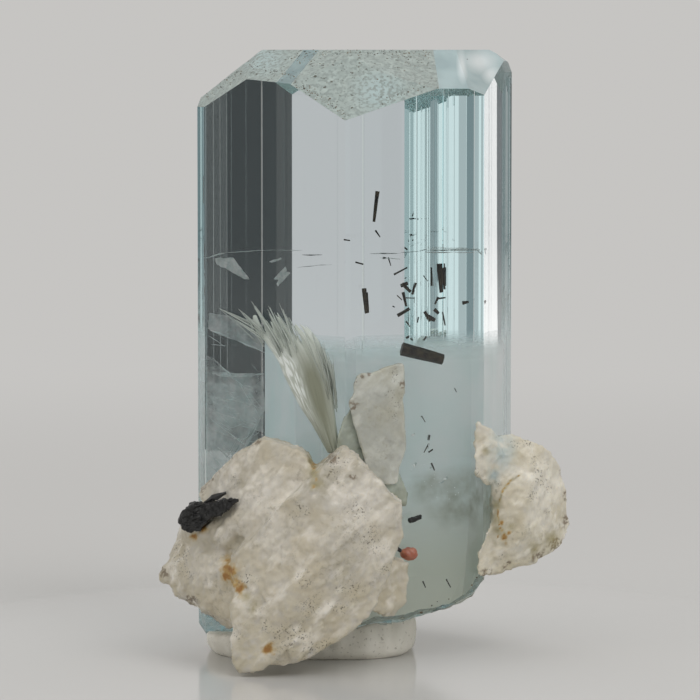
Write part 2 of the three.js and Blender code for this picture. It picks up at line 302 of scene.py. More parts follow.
def spot_share(new, link, spots):
    """A 0 to 1 socket that fades out round each spot x, z, half width, half height in mm."""
    whole = None
    for x, z, width, height in spots:
        place = new("ShaderNodeTexCoord")
        flat = new("ShaderNodeMapping")
        flat.inputs["Location"].default_value = (-x / width, 0, -z / height)
        flat.inputs["Scale"].default_value = (1 / (width * MM), 0, 1 / (height * MM))
        gap = new("ShaderNodeVectorMath")
        gap.operation = "LENGTH"
        fade = new("ShaderNodeMapRange")
        fade.inputs["From Min"].default_value = 1.0
        fade.inputs["From Max"].default_value = 0.2
        link(place.outputs["Object"], flat.inputs["Vector"])
        link(flat.outputs["Vector"], gap.inputs[0])
        link(gap.outputs["Value"], fade.inputs["Value"])
        if whole:
            both = new("ShaderNodeMath")
            both.operation = "MAXIMUM"
            link(whole, both.inputs[0])
            link(fade.outputs["Result"], both.inputs[1])
            whole = both.outputs[0]
        else:
            whole = fade.outputs["Result"]
    return whole


def beryl(name, roughness, haze=0.0, dull=(0.5, 0.6, 0.6), bright=(0.7, 0.8, 0.8), pitted=False,
          patch=900, spots=(), painted_light_colour=(1, 1, 1)):
    """Beryl: plain transmission, with the blue in the absorption of its body."""
    material, skin, new, link = principled(name, (1, 1, 1), roughness)
    skin.inputs["IOR"].default_value = BERYL_IOR
    skin.inputs["Transmission Weight"].default_value = 1 - haze
    if haze:        # frost is white from outside, but from inside it lets the daylight in
        side = new("ShaderNodeNewGeometry")
        clear = new("ShaderNodeMapRange")
        clear.inputs["To Min"].default_value = 1 - haze
        clear.inputs["To Max"].default_value = 1 - HAZE_FROM_INSIDE * haze
        link(side.outputs["Backfacing"], clear.inputs["Value"])
        link(clear.outputs["Result"], skin.inputs["Transmission Weight"])
    body = new("ShaderNodeVolumeAbsorption")
    body.inputs["Color"].default_value = BERYL_TINT
    body.inputs["Density"].default_value = BERYL_DENSITY
    link(body.outputs["Volume"], material.node_tree.nodes["Material Output"].inputs["Volume"])
    if haze:
        frost = blended(new, link, grain(new, link, patch, 2), dull, bright)
        # painted light: patches of a paler colour, standing in for light that the faces show
        if spots:
            frost = blended(new, link, spot_share(new, link, spots), frost, painted_light_colour)
        if pitted:
            pocked = grain(new, link, 3600, 3, 0.45, 0.6)
            frost = blended(new, link, pocked, frost, tuple(c * 0.8 for c in dull))
            pits = grain(new, link, 3000, low=0.36, high=0.31)
            frost = blended(new, link, pits, frost, (0.10, 0.09, 0.06))
            bumped(new, link, skin, grain(new, link, 3500, low=0.2, high=0.8), 0.5, 0.05 * MM)
        link(frost, skin.inputs["Base Color"])
    return material


bm = crystal_mesh()
clear_bands(bm)
work_skin(bm, ETCHED, ETCH_CELL, ETCH_RELIEF, 1.2)
work_skin(bm, BROKEN, FOOT_CELL, FOOT_RELIEF, 1.8)
lower_front_edge(bm)
crystal_skin = BVHTree.FromBMesh(bm)
crystal = piece_from(bm, "beryl_prism", beryl("glassy_beryl", 0.0),
                     beryl("etched_beryl", 0.42, 0.66, (0.50, 0.54, 0.50), (0.66, 0.71, 0.66), True, 1800,
                           PAINTED_BLUISH_LIGHT, (0.62, 0.72, 0.71)),
                     beryl("broken_beryl", 0.5, 0.84, (0.46, 0.48, 0.43), (0.62, 0.65, 0.59), True),
                     # painted light and shade: the glassy top faces get a bluish white haze and the window
                     # band a dark teal one, standing in for the light and dark seen in their clear faces
                     beryl("clear_top_beryl", 0.14, 0.70, (0.46, 0.565, 0.58), (0.58, 0.69, 0.70), False, 420,
                           PAINTED_HIGHLIGHTS, (0.95, 0.99, 1.0)),
                     beryl("window_beryl", 0.2, 0.5, (0.36, 0.43, 0.44), (0.48, 0.56, 0.56)))
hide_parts("aquamarine_crystal")


# ---------------------------------------------------------------------------------------------
# The specks on the crystal. Grains of dark mineral and iron stain caught in the etched top's
# edges, a few brown ones on the foot, and just under the front right face the painted glints:
# small healed cracks that catch the light, drawn as white flakes with a glow.
# ---------------------------------------------------------------------------------------------
SPECK_SEED = 11
# Start and end x, z in mm of each line of specks, how far they stray from it, and how many.
SPECK_LINES = [
    (-6.5, 46.0, -2.8, 43.5, 0.22, 90), (-5.6, 46.6, -4.6, 47.3, 0.3, 36),
    (-4.8, 47.35, 4.8, 47.35, 0.16, 120), (-5.6, 46.9, 3.0, 46.2, 0.9, 60),
    (-9.6, 46.0, -12.6, 43.9, 0.22, 60), (-9.3, 46.3, -6.9, 45.9, 0.14, 30),
    (-2.8, 43.4, -1.4, 42.5, 0.15, 22), (1.2, 43.6, 4.5, 44.9, 0.2, 26),
    (2.2, 47.3, 5.2, 46.6, 0.3, 30),
]
# Middle x, z and width in mm of single specks.
SINGLE_SPECKS = [
    (-2.75, 43.85, 0.16), (-2.85, 43.75, 0.12), (8.0, 46.85, 0.12), (4.34, 3.96, 0.2),
    (5.17, 4.46, 0.14), (8.32, 5.9, 0.16), (3.2, 3.3, 0.12), (5.6, 4.75, 0.1), (8.7, 6.5, 0.14),
    (6.5, 4.9, 0.1),
]
# The same for the glints, and how deep in mm they lie.
GLINT_LINES = [(4.6, 16.0, 6.4, 13.2, 0.7, 26)]
GLINT_DEPTH = 0.45
GLINTS = [
    (3.7, 15.44, 0.26), (3.61, 17.83, 0.2), (6.14, 14.3, 0.22), (4.9, 15.13, 0.12), (3.5, 15.1, 0.12),
    (2.9, 17.2, 0.14), (5.5, 12.9, 0.12), (6.9, 13.6, 0.12), (-0.9, 18.5, 0.16), (-0.74, 17.9, 0.12),
]


def speck_mesh(lines, singles, depth):
    rng = random.Random(SPECK_SEED)
    spots = list(singles)
    for x0, z0, x1, z1, stray, count in lines:
        for _ in range(count):
            share = rng.random()
            spots.append((x0 + (x1 - x0) * share + rng.gauss(0, stray * 0.6),
                          z0 + (z1 - z0) * share + rng.gauss(0, stray), rng.triangular(0.03, 0.13, 0.05)))
    bm = bmesh.new()
    for x, z, width in spots:
        place = crystal_skin.ray_cast(Vector((x, -40, z)) * MM, Vector((0, 1, 0)))[0]
        if place is None:
            continue
        place.y += depth * MM
        turn = Matrix.Rotation(rng.uniform(0, 3), 4, Vector((rng.random(), rng.random(), 1)).normalized())
        made = bmesh.ops.create_icosphere(bm, subdivisions=1, radius=width * 0.5 * MM,
                                          matrix=Matrix.Translation(place) @ turn)
        bmesh.ops.scale(bm, verts=made["verts"], vec=(rng.uniform(0.8, 1.7), 0.7, rng.uniform(0.7, 1.2)),
                        space=Matrix.Translation(-place))
    return bm


def speck_mineral():
    material, skin, new, link = principled("speck_mineral", roughness=0.6)
    link(blended(new, link, grain(new, link, 900, 2, 0.42, 0.58), (0.05, 0.04, 0.028), (0.22, 0.16, 0.09)),
         skin.inputs["Base Color"])
    return material


def glint_film():
    material, skin, _, _ = principled("glint_film", (0.92, 0.96, 0.95), 0.15)
    skin.inputs["Emission Color"].default_value = (0.92, 0.96, 0.95, 1)
    skin.inputs["Emission Strength"].default_value = 0.12    # stands in for light scattered inside
    return material


specks = piece_from(speck_mesh(SPECK_LINES, SINGLE_SPECKS, 0), "surface_specks", speck_mineral())
glints = piece_from(speck_mesh(GLINT_LINES, GLINTS, GLINT_DEPTH), "glints", glint_film())


# ---------------------------------------------------------------------------------------------
# The milky heart. An earlier, smaller prism inside the crystal, full of fluid bubbles too fine
# to see, that the clear beryl grew over. It has a flat top and upright sides like the crystal's.
# ---------------------------------------------------------------------------------------------
HEART_PLAN = [(-3.4, 1.5), (-1.7, -1.6), (7.4, 1.8), (8.9, 5.6), (0.2, 14.0), (-3.3, 13.0)]
HEART_SLOPE = 0.374     # of the plan's front side along x, as on the crystal's front right face
HEART_TOP = 24.7
# Height of each ring and how far it swells forward there, in mm; the last one lies on the foot.
HEART_RINGS = [(HEART_TOP, 0), (15.5, 0), (14.0, 0.15), (12.5, 0.5), (11.0, 1.1), (9.5, 2.0),
               (8.0, 3.1), (6.5, 4.2), (None, 5.6)]
HEART_GLOW = 0.085      # stands in for light scattered on from deeper in the cloud
# Middle x, z, half width and half height in mm of its dim, greenish places.
DIM_PLACES = [(6.9, 12.2, 3.6, 2.9), (4.4, 13.2, 2.4, 1.6)]


def height_share(new, link, bottom, top):
    """A 0 to 1 socket that rises between two heights in mm."""
    place = new("ShaderNodeTexCoord")
    parts = new("ShaderNodeSeparateXYZ")
    link(place.outputs["Object"], parts.inputs["Vector"])
    share = new("ShaderNodeMapRange")
    share.inputs["From Min"].default_value = bottom * MM
    share.inputs["From Max"].default_value = top * MM
    link(parts.outputs["Z"], share.inputs["Value"])
    return share.outputs["Result"]


def joined(new, link, first, second, way="MULTIPLY"):
    """Two 0 to 1 sockets, or a socket and a number, joined into one."""
    both = new("ShaderNodeMath")
    both.operation = way
    both.use_clamp = True
    for socket, value in zip(both.inputs, (first, second)):
        if isinstance(value, float):
            socket.default_value = value
        else:
            link(value, socket)
    return both.outputs[0]


def milky_beryl():
    material, skin, new, link = principled("milky_beryl", roughness=0.6)
    cloud = blended(new, link, grain(new, link, 260), (0.90, 0.98, 0.97), (0.98, 1.0, 1.0))
    cloud = blended(new, link, height_share(new, link, 14.0, 7.0), cloud, (0.76, 0.76, 0.65))
    dim = joined(new, link, spot_share(new, link, DIM_PLACES), grain(new, link, 480, 3, 0.35, 0.62))
    cloud = blended(new, link, dim, cloud, (0.38, 0.38, 0.28))
    link(cloud, skin.inputs["Base Color"])
    link(cloud, skin.inputs["Emission Color"])
    skin.inputs["Emission Strength"].default_value = HEART_GLOW
    solid = height_share(new, link, 24.9, 23.2)
    wisps = joined(new, link, solid, grain(new, link, 420, 4, 0.25, 0.55), way="ADD")
    link(joined(new, link, joined(new, link, solid, wisps), 0.84), skin.inputs["Alpha"])
    return material


def heart_mesh():
    """An upright prism; near its foot it swells forward and follows the crystal's broken foot."""
    bm = bmesh.new()
    plan = [Vector((a[0] + (b[0] - a[0]) * k / 8, a[1] + (b[1] - a[1]) * k / 8, -10))
            for a, b in zip(HEART_PLAN, HEART_PLAN[1:] + HEART_PLAN[:1]) for k in range(8)]
    front = HEART_PLAN[1]
    rings = []
    for height, swell in HEART_RINGS:
        ring = []
        for p in plan:
            back = p.y - HEART_SLOPE * (p.x - front[0]) - front[1]
            spot = Vector((p.x, p.y - swell * max(0.0, 1 - back / 4), p.z)) * MM
            foot = crystal_skin.ray_cast(spot, Vector((0, 0, 1)))[0] + Vector((0, 0, 0.45 * MM))
            spot.z = max(foot.z, height * MM) if height else foot.z
            ring.append(bm.verts.new(spot))
        rings.append(ring)
    for first, second in zip(rings, rings[1:]):
        for k in range(len(plan)):
            bm.faces.new((second[k - 1], second[k], first[k], first[k - 1]))
    bm.faces.new(rings[0])
    bm.faces.new(rings[-1])
    bmesh.ops.triangulate(bm, faces=[f for f in bm.faces if len(f.verts) > 4])
    bmesh.ops.recalc_face_normals(bm, faces=bm.faces)
    return bm


piece_from(heart_mesh(), "milky_heart", milky_beryl())


# ---------------------------------------------------------------------------------------------
# The rods. Short, dark brown, six-sided crystals of another mineral, sealed in the beryl as it
# grew. They lie in one layer a few millimetres behind the front right face.
# ---------------------------------------------------------------------------------------------
ROD_LAYER = (-4.78, 0.373)      # y in mm where x is 0, and the layer's slope along x
ROD_LAYER_DEPTH = 3.68          # behind the face; the layer comes up to it at the front edge
FRONT_EDGE = -1.58              # x in mm of the edge between the two front faces
LOW_RODS = 8                    # rods below this height in mm lie LOW_RODS_RISE before the layer
LOW_RODS_RISE = 2.9
ROD_SHIFT = 0.135               # sideways for each mm that a rod lies before the layer
ROD_SEED = 3
noise.seed_set(ROD_SEED)        # noise_vector, here and in the sections below, is the same each run
# Middle x and z, length, width in mm, and lean from the horizontal in degrees.
RODS = [
    (4.0, 23.95, 3.55, 1.05, -15), (0.3, 35.5, 2.4, 0.36, -97), (5.4, 29.85, 2.25, 0.5, -85),
    (-0.5, 28.25, 1.95, 0.4, -84), (-0.35, 28.1, 1.6, 0.25, -86), (5.6, 29.8, 1.7, 0.28, -84),
    (0.5, 33.4, 0.65, 0.16, -52), (-1.9, 33.05, 0.5, 0.12, -9), (-0.95, 31.2, 0.66, 0.14, -14),
    (1.35, 31.2, 0.67, 0.12, -73), (2.2, 30.45, 1.25, 0.15, 25), (4.2, 29.85, 0.57, 0.08, -51),
    (2.7, 29.15, 0.95, 0.3, -42), (2.5, 29.4, 0.6, 0.3, 20), (3.25, 29.05, 0.96, 0.23, -107),
    (2.55, 28.25, 1.15, 0.27, -76), (3.05, 28.35, 0.8, 0.12, -3), (3.4, 28.2, 0.5, 0.1, -90),
    (2.2, 28.4, 0.57, 0.09, -39), (1.7, 27.7, 0.2, 0.12, -27), (2.45, 27.25, 1.13, 0.3, 28),
    (5.1, 28.1, 0.62, 0.22, -116), (5.55, 28.3, 0.55, 0.16, 5), (4.4, 26.9, 0.9, 0.28, -60),
    (4.6, 26.7, 0.7, 0.42, -25), (5.05, 27.25, 0.48, 0.3, -42), (5.6, 26.65, 1.06, 0.13, -79),
    (3.65, 26.65, 0.44, 0.12, -100), (7.35, 27.9, 0.52, 0.3, 9), (2.9, 26.35, 0.57, 0.12, -51),
    (2.8, 25.3, 0.3, 0.2, 30), (3.1, 25.1, 0.25, 0.14, -40), (4.15, 25.15, 0.37, 0.14, 50),
    (4.05, 18.85, 0.58, 0.08, -58), (4.5, 17.4, 0.42, 0.22, -102), (4.25, 16.55, 0.78, 0.12, -121),
    (4.65, 16.35, 0.41, 0.15, -148), (4.85, 15.1, 0.64, 0.15, -65), (6.6, 21.05, 0.36, 0.08, -60),
    (4.1, 6.1, 0.57, 0.12, -66), (6.0, 6.1, 0.76, 0.12, -62), (1.0, 31.5, 0.25, 0.2, 0),
]


def rod_mineral():
    material, skin, new, link = principled("brown_rod", roughness=0.5)
    skin.inputs["Specular IOR Level"].default_value = 0.2
    link(blended(new, link, grain(new, link, 1800), (0.012, 0.009, 0.005), (0.060, 0.046, 0.024)),
         skin.inputs["Base Color"])
    return material


def rods_mesh():
    rng = random.Random(ROD_SEED)
    bm = bmesh.new()
    for x, z, length, width, lean in RODS:
        rise = max(0.0, ROD_LAYER_DEPTH - 1.7 * max(0.15, x + 0.45 - FRONT_EDGE))
        y = ROD_LAYER[0] + ROD_LAYER[1] * x - rise + rng.uniform(-0.5, 0.5) * (rise == 0)
        if z < LOW_RODS:
            rise = LOW_RODS_RISE
            y = ROD_LAYER[0] + ROD_LAYER[1] * x - rise
        x += ROD_SHIFT * rise
        tip = width * rng.uniform(0.3, 0.48)
        place = (Matrix.Translation(Vector((x, y, z)) * MM)
                 @ Matrix.Rotation(math.radians(20 + rng.uniform(-12, 12)), 4, "Z")
                 @ Matrix.Rotation(math.radians(-lean), 4, "Y")
                 @ Matrix.Rotation(math.radians(90), 4, "Y")
                 @ Matrix.Rotation(rng.uniform(0, 1), 4, "Z"))
        bmesh.ops.create_cone(bm, cap_ends=True, segments=6, radius1=width * 0.5 * MM, radius2=tip * MM,
                              depth=length * MM, matrix=place)
    edges = [e for e in bm.edges if e.calc_length() > 0.9 * MM]
    bmesh.ops.subdivide_edges(bm, edges=edges, cuts=3, use_grid_fill=True)
    for v in bm.verts:
        v.co += 0.02 * MM * noise.noise_vector(v.co / (0.3 * MM))
    return bm


piece_from(rods_mesh(), "sealed_rods", rod_mineral())


# ---------------------------------------------------------------------------------------------
# The healed cracks and flecks. A nearly level crack that healed with films of fluid crosses the
# crystal at two thirds of its height, with white flaky patches hanging below it on the left.
# ---------------------------------------------------------------------------------------------
# Each front face as its y in mm at the front edge, and its slope along x.
FRONT_LEFT_PLANE = (-9.1, -0.824)
FRONT_RIGHT_PLANE = (-9.05, 0.374)
# Corners x, z in mm of each flake.
FLAKES = [
    [(-11.57, 31.16), (-10.04, 31.27), (-10.04, 30.92), (-9.31, 30.32), (-8.75, 29.64), (-9.15, 29.62),
     (-10.52, 30.34), (-11.41, 30.7)],
    [(-7.16, 31.12), (-6.29, 31.47), (-6.21, 31.32), (-7.0, 31.01)],
    [(-6.85, 29.73), (-6.37, 29.91), (-6.14, 30.31), (-5.9, 30.79), (-5.78, 30.4), (-5.51, 30.26),
     (-5.74, 30.02), (-6.06, 29.85), (-6.45, 29.2), (-6.61, 29.35), (-6.37, 29.68)],
    [(8.84, 32.03), (8.91, 31.89), (8.91, 31.57), (8.84, 31.72)],
]
# Start and end x, z in mm of the crack's bright and dark rims, and their thickness. These rims are
# painted reflection, the light and dark that the crack's film mirrors. The bright ones include a few
# short streaks lower down, and the five beside the glints are painted glints.
RIMS = [
    (-12.3, 31.13, -10.6, 31.68, 0.09), (-10.6, 31.68, -7.64, 31.96, 0.05),
    (-7.64, 31.96, -4.6, 32.1, 0.04), (4.4, 31.95, 6.6, 31.9, 0.10), (6.6, 31.9, 8.5, 31.8, 0.05),
    (8.5, 32.0, 8.9, 31.7, 0.14), (0.9, 31.6, 2.6, 31.45, 0.05), (3.62, 15.42, 3.8, 15.5, 0.34),
    (3.55, 17.8, 3.68, 17.86, 0.26), (6.08, 14.3, 6.2, 14.34, 0.26), (4.8, 15.1, 5.0, 15.2, 0.2),
    (5.6, 13.9, 6.0, 14.1, 0.12), (-1.64, 24.95, -1.64, 23.73, 0.06), (-0.87, 25.5, -0.87, 24.2, 0.06),
    (-0.38, 25.5, -0.38, 23.8, 0.08), (-0.22, 25.45, -0.22, 25.0, 0.06), (-2.4, 26.2, -2.4, 24.9, 0.04),
]
DARK_RIMS = [
    (0.14, 31.95, 2.54, 31.9, 0.09), (2.5, 31.95, 3.93, 32.03, 0.07), (3.93, 32.03, 4.55, 32.17, 0.06),
    (-4.57, 31.75, -3.0, 31.8, 0.12), (-4.96, 30.75, -2.3, 31.1, 0.04), (4.5, 32.1, 8.7, 32.05, 0.06),
]
FILM = [(4.42, 32.36), (7.61, 32.2), (8.6, 32.1), (8.6, 31.95), (7.6, 31.95), (4.42, 32.05)]


def fleck_film():
    material, skin, new, link = principled("white_film", (0.78, 0.84, 0.83), 0.35)
    skin.inputs["Alpha"].default_value = 0.8
    link(blended(new, link, grain(new, link, 2200), (0.66, 0.76, 0.75), (0.93, 0.96, 0.95)),
         skin.inputs["Base Color"])
    return material


def dark_film(name, colour, alpha):
    material, skin, new, link = principled(name, colour, 0.3)
    link(joined(new, link, grain(new, link, 1500, 3, 0.30, 0.60), alpha), skin.inputs["Alpha"])
    link(blended(new, link, grain(new, link, 900), colour, tuple(c * 1.6 for c in colour)),
         skin.inputs["Base Color"])
    return material


def front_left_at(x, depth):
    """The y in mm at a depth behind the front left face."""
    return FRONT_LEFT_PLANE[0] + FRONT_LEFT_PLANE[1] * (x - FRONT_EDGE) + depth


def front_right_at(x, depth):
    """The y in mm at a depth behind the front right face."""
    return FRONT_RIGHT_PLANE[0] + FRONT_RIGHT_PLANE[1] * (x - FRONT_EDGE) + depth


def depth_at(x, depth):
    """The y in mm at a depth behind whichever front face is at x."""
    return front_left_at(x, depth) if x < FRONT_EDGE else front_right_at(x, depth)


def crumpled_flake(bm, corners, depth):
    face = bm.faces.new([bm.verts.new((x * MM, depth_at(x, depth) * MM, z * MM)) for x, z in corners])
    cut = bmesh.ops.triangulate(bm, faces=[face])
    edges = list({e for f in cut["faces"] for e in f.edges})
    split = bmesh.ops.subdivide_edges(bm, edges=edges, cuts=5, use_grid_fill=True)
    fresh = {g for g in split["geom"] if isinstance(g, bmesh.types.BMVert)}
    for v in fresh:
        v.co += noise.noise_vector(v.co / (0.35 * MM)) * 0.09 * MM
        v.co.y += noise.noise(v.co / (0.8 * MM)) * 0.3 * MM


def rim_thread(bm, x0, z0, x1, z1, thickness, depth):
    """A thin wandering thread between two points, such as the edge of a healed crack."""
    steps = max(3, int(math.hypot(x1 - x0, z1 - z0) / 0.35))
    sides = 4
    rings = []
    for i in range(steps + 1):
        t = i / steps
        x, z = x0 + (x1 - x0) * t, z0 + (z1 - z0) * t
        centre = Vector((x, depth_at(x, depth), z)) * MM
        centre += noise.noise_vector(centre / (0.9 * MM)) * 0.06 * MM
        uneven = 0.25 + 0.3 * (1 + noise.noise(centre / (0.5 * MM)))
        radius = thickness * MM * uneven * (0.3 + 2.8 * t * (1 - t))
        rings.append([bm.verts.new(centre + radius * Vector(
            (math.cos(a) * 0.3, math.cos(a) * 0.95, math.sin(a)))) for a in (k * math.tau / sides
                                                                           for k in range(sides))])
    for ring in (rings[0], rings[-1]):
        bm.faces.new(ring)
    for first, second in zip(rings, rings[1:]):
        for k in range(sides):
            bm.faces.new((first[k], first[(k + 1) % sides], second[(k + 1) % sides], second[k]))


def healed_crack_pieces():
    white, dark, film = bmesh.new(), bmesh.new(), bmesh.new()
    for corners in FLAKES:
        crumpled_flake(white, corners, 1.5)
    for x0, z0, x1, z1, thickness in RIMS:
        rim_thread(white, x0, z0, x1, z1, thickness, min(1.5, 0.5 + 0.6 * abs(x0 - FRONT_EDGE)))
    for x0, z0, x1, z1, thickness in DARK_RIMS:
        rim_thread(dark, x0, z0, x1, z1, thickness, 1.5)
    crumpled_flake(film, FILM, 2.4)
    for bm in (white, dark, film):
        bmesh.ops.recalc_face_normals(bm, faces=bm.faces)
    return white, dark, film


white, dark, film = healed_crack_pieces()
piece_from(white, "healed_flecks", fleck_film())
piece_from(dark, "healed_crack", dark_film("dark_film", (0.12, 0.14, 0.13), 0.7))
piece_from(film, "healed_film", dark_film("grey_film", (0.42, 0.46, 0.42), 0.5))


# ---------------------------------------------------------------------------------------------
# The veils. Curtains of fine bubbles and straight white threads that fill the lower left of the
# crystal, left of the milky heart, where small cracks healed one across another.
# ---------------------------------------------------------------------------------------------
VEIL_SEED = 31
SHORT_THREADS = 110
# Start and end x, z in mm and thickness of the long threads.
THREADS = [
    (-12.1, 25.5, -9.9, 24.8, 0.17), (-9.9, 24.8, -7.7, 24.0, 0.12), (-12.0, 23.4, -8.85, 20.7, 0.17),
    (-8.85, 20.7, -7.7, 19.5, 0.15), (-12.1, 22.0, -9.9, 21.9, 0.15), (-9.9, 21.9, -7.7, 22.3, 0.14),
    (-12.1, 20.1, -9.7, 20.0, 0.16), (-9.7, 20.0, -7.6, 19.5, 0.13), (-12.0, 18.4, -9.0, 16.4, 0.12),
    (-11.9, 17.6, -9.4, 16.9, 0.12), (-9.9, 21.8, -7.8, 18.6, 0.09), (-12.0, 16.7, -9.9, 14.8, 0.10),
    (-11.8, 16.0, -8.9, 15.6, 0.09), (-10.05, 25.6, -10.1, 21.9, 0.05), (-12.1, 25.0, -10.6, 24.1, 0.06),
    (-9.5, 25.1, -7.8, 25.6, 0.09), (-12.0, 24.3, -9.9, 24.4, 0.05), (-11.6, 19.0, -8.2, 18.2, 0.10),
    (-8.6, 17.2, -7.8, 18.9, 0.08), (-11.0, 14.9, -9.9, 16.8, 0.08), (-12.0, 14.7, -10.6, 13.6, 0.10),
]
# Depth in mm, then corners x, z in mm of the curtains.
VEILS = [
    (1.4, [(-12.1, 26.8), (-10.4, 26.7), (-8.9, 25.8), (-7.7, 25.2), (-7.7, 24.05), (-9.9, 24.85),
           (-12.1, 25.55)]),
    (1.7, [(-12.1, 22.05), (-9.9, 21.95), (-7.6, 22.3), (-7.5, 19.4), (-8.8, 16.6), (-10.5, 14.2),
           (-12.2, 13.0)]),
    (2.6, [(-11.9, 20.2), (-9.6, 20.2), (-7.4, 19.4), (-7.4, 17.6), (-9.4, 18.0), (-11.0, 17.4),
           (-11.9, 18.6)]),
    (2.2, [(-12.0, 23.4), (-9.9, 21.95), (-12.0, 22.0)]),
    (2.9, [(-11.9, 17.3), (-9.9, 16.4), (-9.0, 15.4), (-10.6, 14.3), (-11.9, 13.2)]),
    (3.3, [(-11.9, 21.2), (-8.2, 21.2), (-7.6, 16.0), (-8.4, 6.0), (-11.9, 4.4)]),
    (0.9, [(-12.0, 9.0), (-8.4, 9.0), (-8.4, 2.3), (-11.9, 1.9)]),
]


def veil_film(name, alpha, low=0.30, high=0.62):
    material, skin, new, link = principled(name, (0.8, 0.9, 0.9), 0.5)
    link(blended(new, link, grain(new, link, 1400), (0.80, 0.92, 0.92), (0.97, 1.0, 1.0)),
         skin.inputs["Base Color"])
    cover = joined(new, link, grain(new, link, 560, 4, low, high), alpha)
    link(cover, skin.inputs["Alpha"])
    return material


def veil_pieces():
    rng = random.Random(VEIL_SEED)
    threads, curtains = bmesh.new(), bmesh.new()
    for x0, z0, x1, z1, thickness in THREADS:
        rim_thread(threads, x0, z0, x1, z1, thickness, rng.uniform(0.9, 1.8))
    for _ in range(SHORT_THREADS):
        x, z = rng.uniform(-12.3, -8.4), rng.triangular(12.5, 23.5, 20.0)
        reach, turn = rng.uniform(0.3, 1.6), rng.uniform(-0.9, 0.5)
        rim_thread(threads, x, z, min(x + reach * math.cos(turn), -8.0), z + reach * math.sin(turn),
                   rng.uniform(0.03, 0.08), rng.uniform(0.9, 2.6))
    for depth, corners in VEILS:
        crumpled_flake(curtains, corners, depth)
    for bm in (threads, curtains):
        bmesh.ops.recalc_face_normals(bm, faces=bm.faces)
    return threads, curtains


threads, curtains = veil_pieces()
piece_from(threads, "veil_threads", veil_film("veil_thread", 0.95))
piece_from(curtains, "veil_curtains", veil_film("veil_curtain", 0.62, 0.22, 0.60))


# ---------------------------------------------------------------------------------------------
# The albite. Sugary white feldspar that the beryl grew on: a large stepped clump across the foot
# at the front, and a smaller rounded clump on the right face. Iron has stained it in a few spots.
# ---------------------------------------------------------------------------------------------
ALBITE_CELL = 0.16
LEDGE_RUN = Vector((0.77, 0.0, 0.64))       # along the cleavage ledges
LEDGE_WAY = Vector((-0.64, 0.1, 0.77))      # up across them
LEDGE_STEP = 2.6
LEDGE_RISE = 0.22


def spots_along(line, count, reach):
    """Stains of one reach along a line of x, z points in mm, so many to each stretch."""
    return [(x + (u - x) * k / count, z + (w - z) * k / count, reach)
            for (x, z), (u, w) in zip(line, line[1:]) for k in range(count)]


# Rounded lumps on the front clump: middle x, y, z and radius in mm.
FRONT_LUMPS = [
    (-12.9, -7.0, 10.2, 1.5), (-11.8, -7.9, 10.3, 1.6), (-11.0, -8.5, 10.6, 1.5),
    (-10.4, -9.4, 10.3, 1.4), (1.1, -9.4, 6.6, 0.7), (1.9, -9.2, 7.5, 0.55), (2.6, -9.0, 6.4, 0.6),
    (2.0, -9.3, 5.6, 0.6), (0.8, -9.7, 5.4, 0.7), (3.0, -8.8, 7.4, 0.4),
]
# Stains as middle x, z and reach in mm on the front clump: rust, olive, brown rind, black dirt.
FRONT_RUST = [
    (-3.95, 15.9, 0.16), (-3.75, 15.2, 0.12), (-3.9, 14.7, 0.12), (-10.4, 7.9, 0.62),
    (-10.9, 7.5, 0.35), (-9.9, 7.1, 0.3), (-9.5, 6.7, 0.3), (-7.35, 2.3, 0.36), (-12.5, 10.9, 0.28),
    (-13.3, 10.1, 0.24),
]
FRONT_OLIVE = [(-4.0, 16.3, 0.7), (-3.9, 15.5, 0.6), (-3.8, 14.8, 0.5), (-8.6, 5.3, 0.3), (-9.1, 6.2, 0.35)]
RIM_LINE = [(-12.9, 13.3), (-11.8, 14.8), (-10.5, 16.4), (-9.3, 17.4), (-8.1, 17.9)]
FRONT_RIND = spots_along(RIM_LINE, 5, 0.22)
FRONT_RIND += [
    (-15.7, 7.0, 0.3), (-13.5, 5.0, 0.35), (-11.9, 3.8, 0.3), (-2.6, 16.6, 0.3), (-1.0, 15.4, 0.2),
    (3.0, 9.7, 0.2),
]
FRONT_DIRT = [
    (-4.8, 13.0, 0.42), (-5.5, 12.4, 0.3), (-0.7, 12.8, 0.6), (0.1, 10.7, 0.7), (0.9, 9.9, 0.5),
    (-4.2, 5.7, 0.7), (-9.0, 7.5, 0.5), (-1.3, 6.8, 0.65), (-2.5, 16.6, 0.8), (-2.3, 15.6, 0.6),
    (-6.1, 3.2, 0.9), (-5.0, 3.5, 0.6), (-14.4, 8.4, 0.75), (-13.9, 7.4, 0.5), (-3.9, 2.0, 0.7),
    (-3.0, 2.2, 0.5), (-10.0, 14.6, 0.3), (-4.6, 7.7, 0.45), (1.6, 8.3, 0.45), (-5.4, 9.3, 0.2),
    (-9.8, 3.2, 0.3), (-7.6, 3.9, 0.4), (-2.0, 5.4, 0.5), (-7.3, 11.9, 0.2), (-13.1, 5.2, 0.3),
]
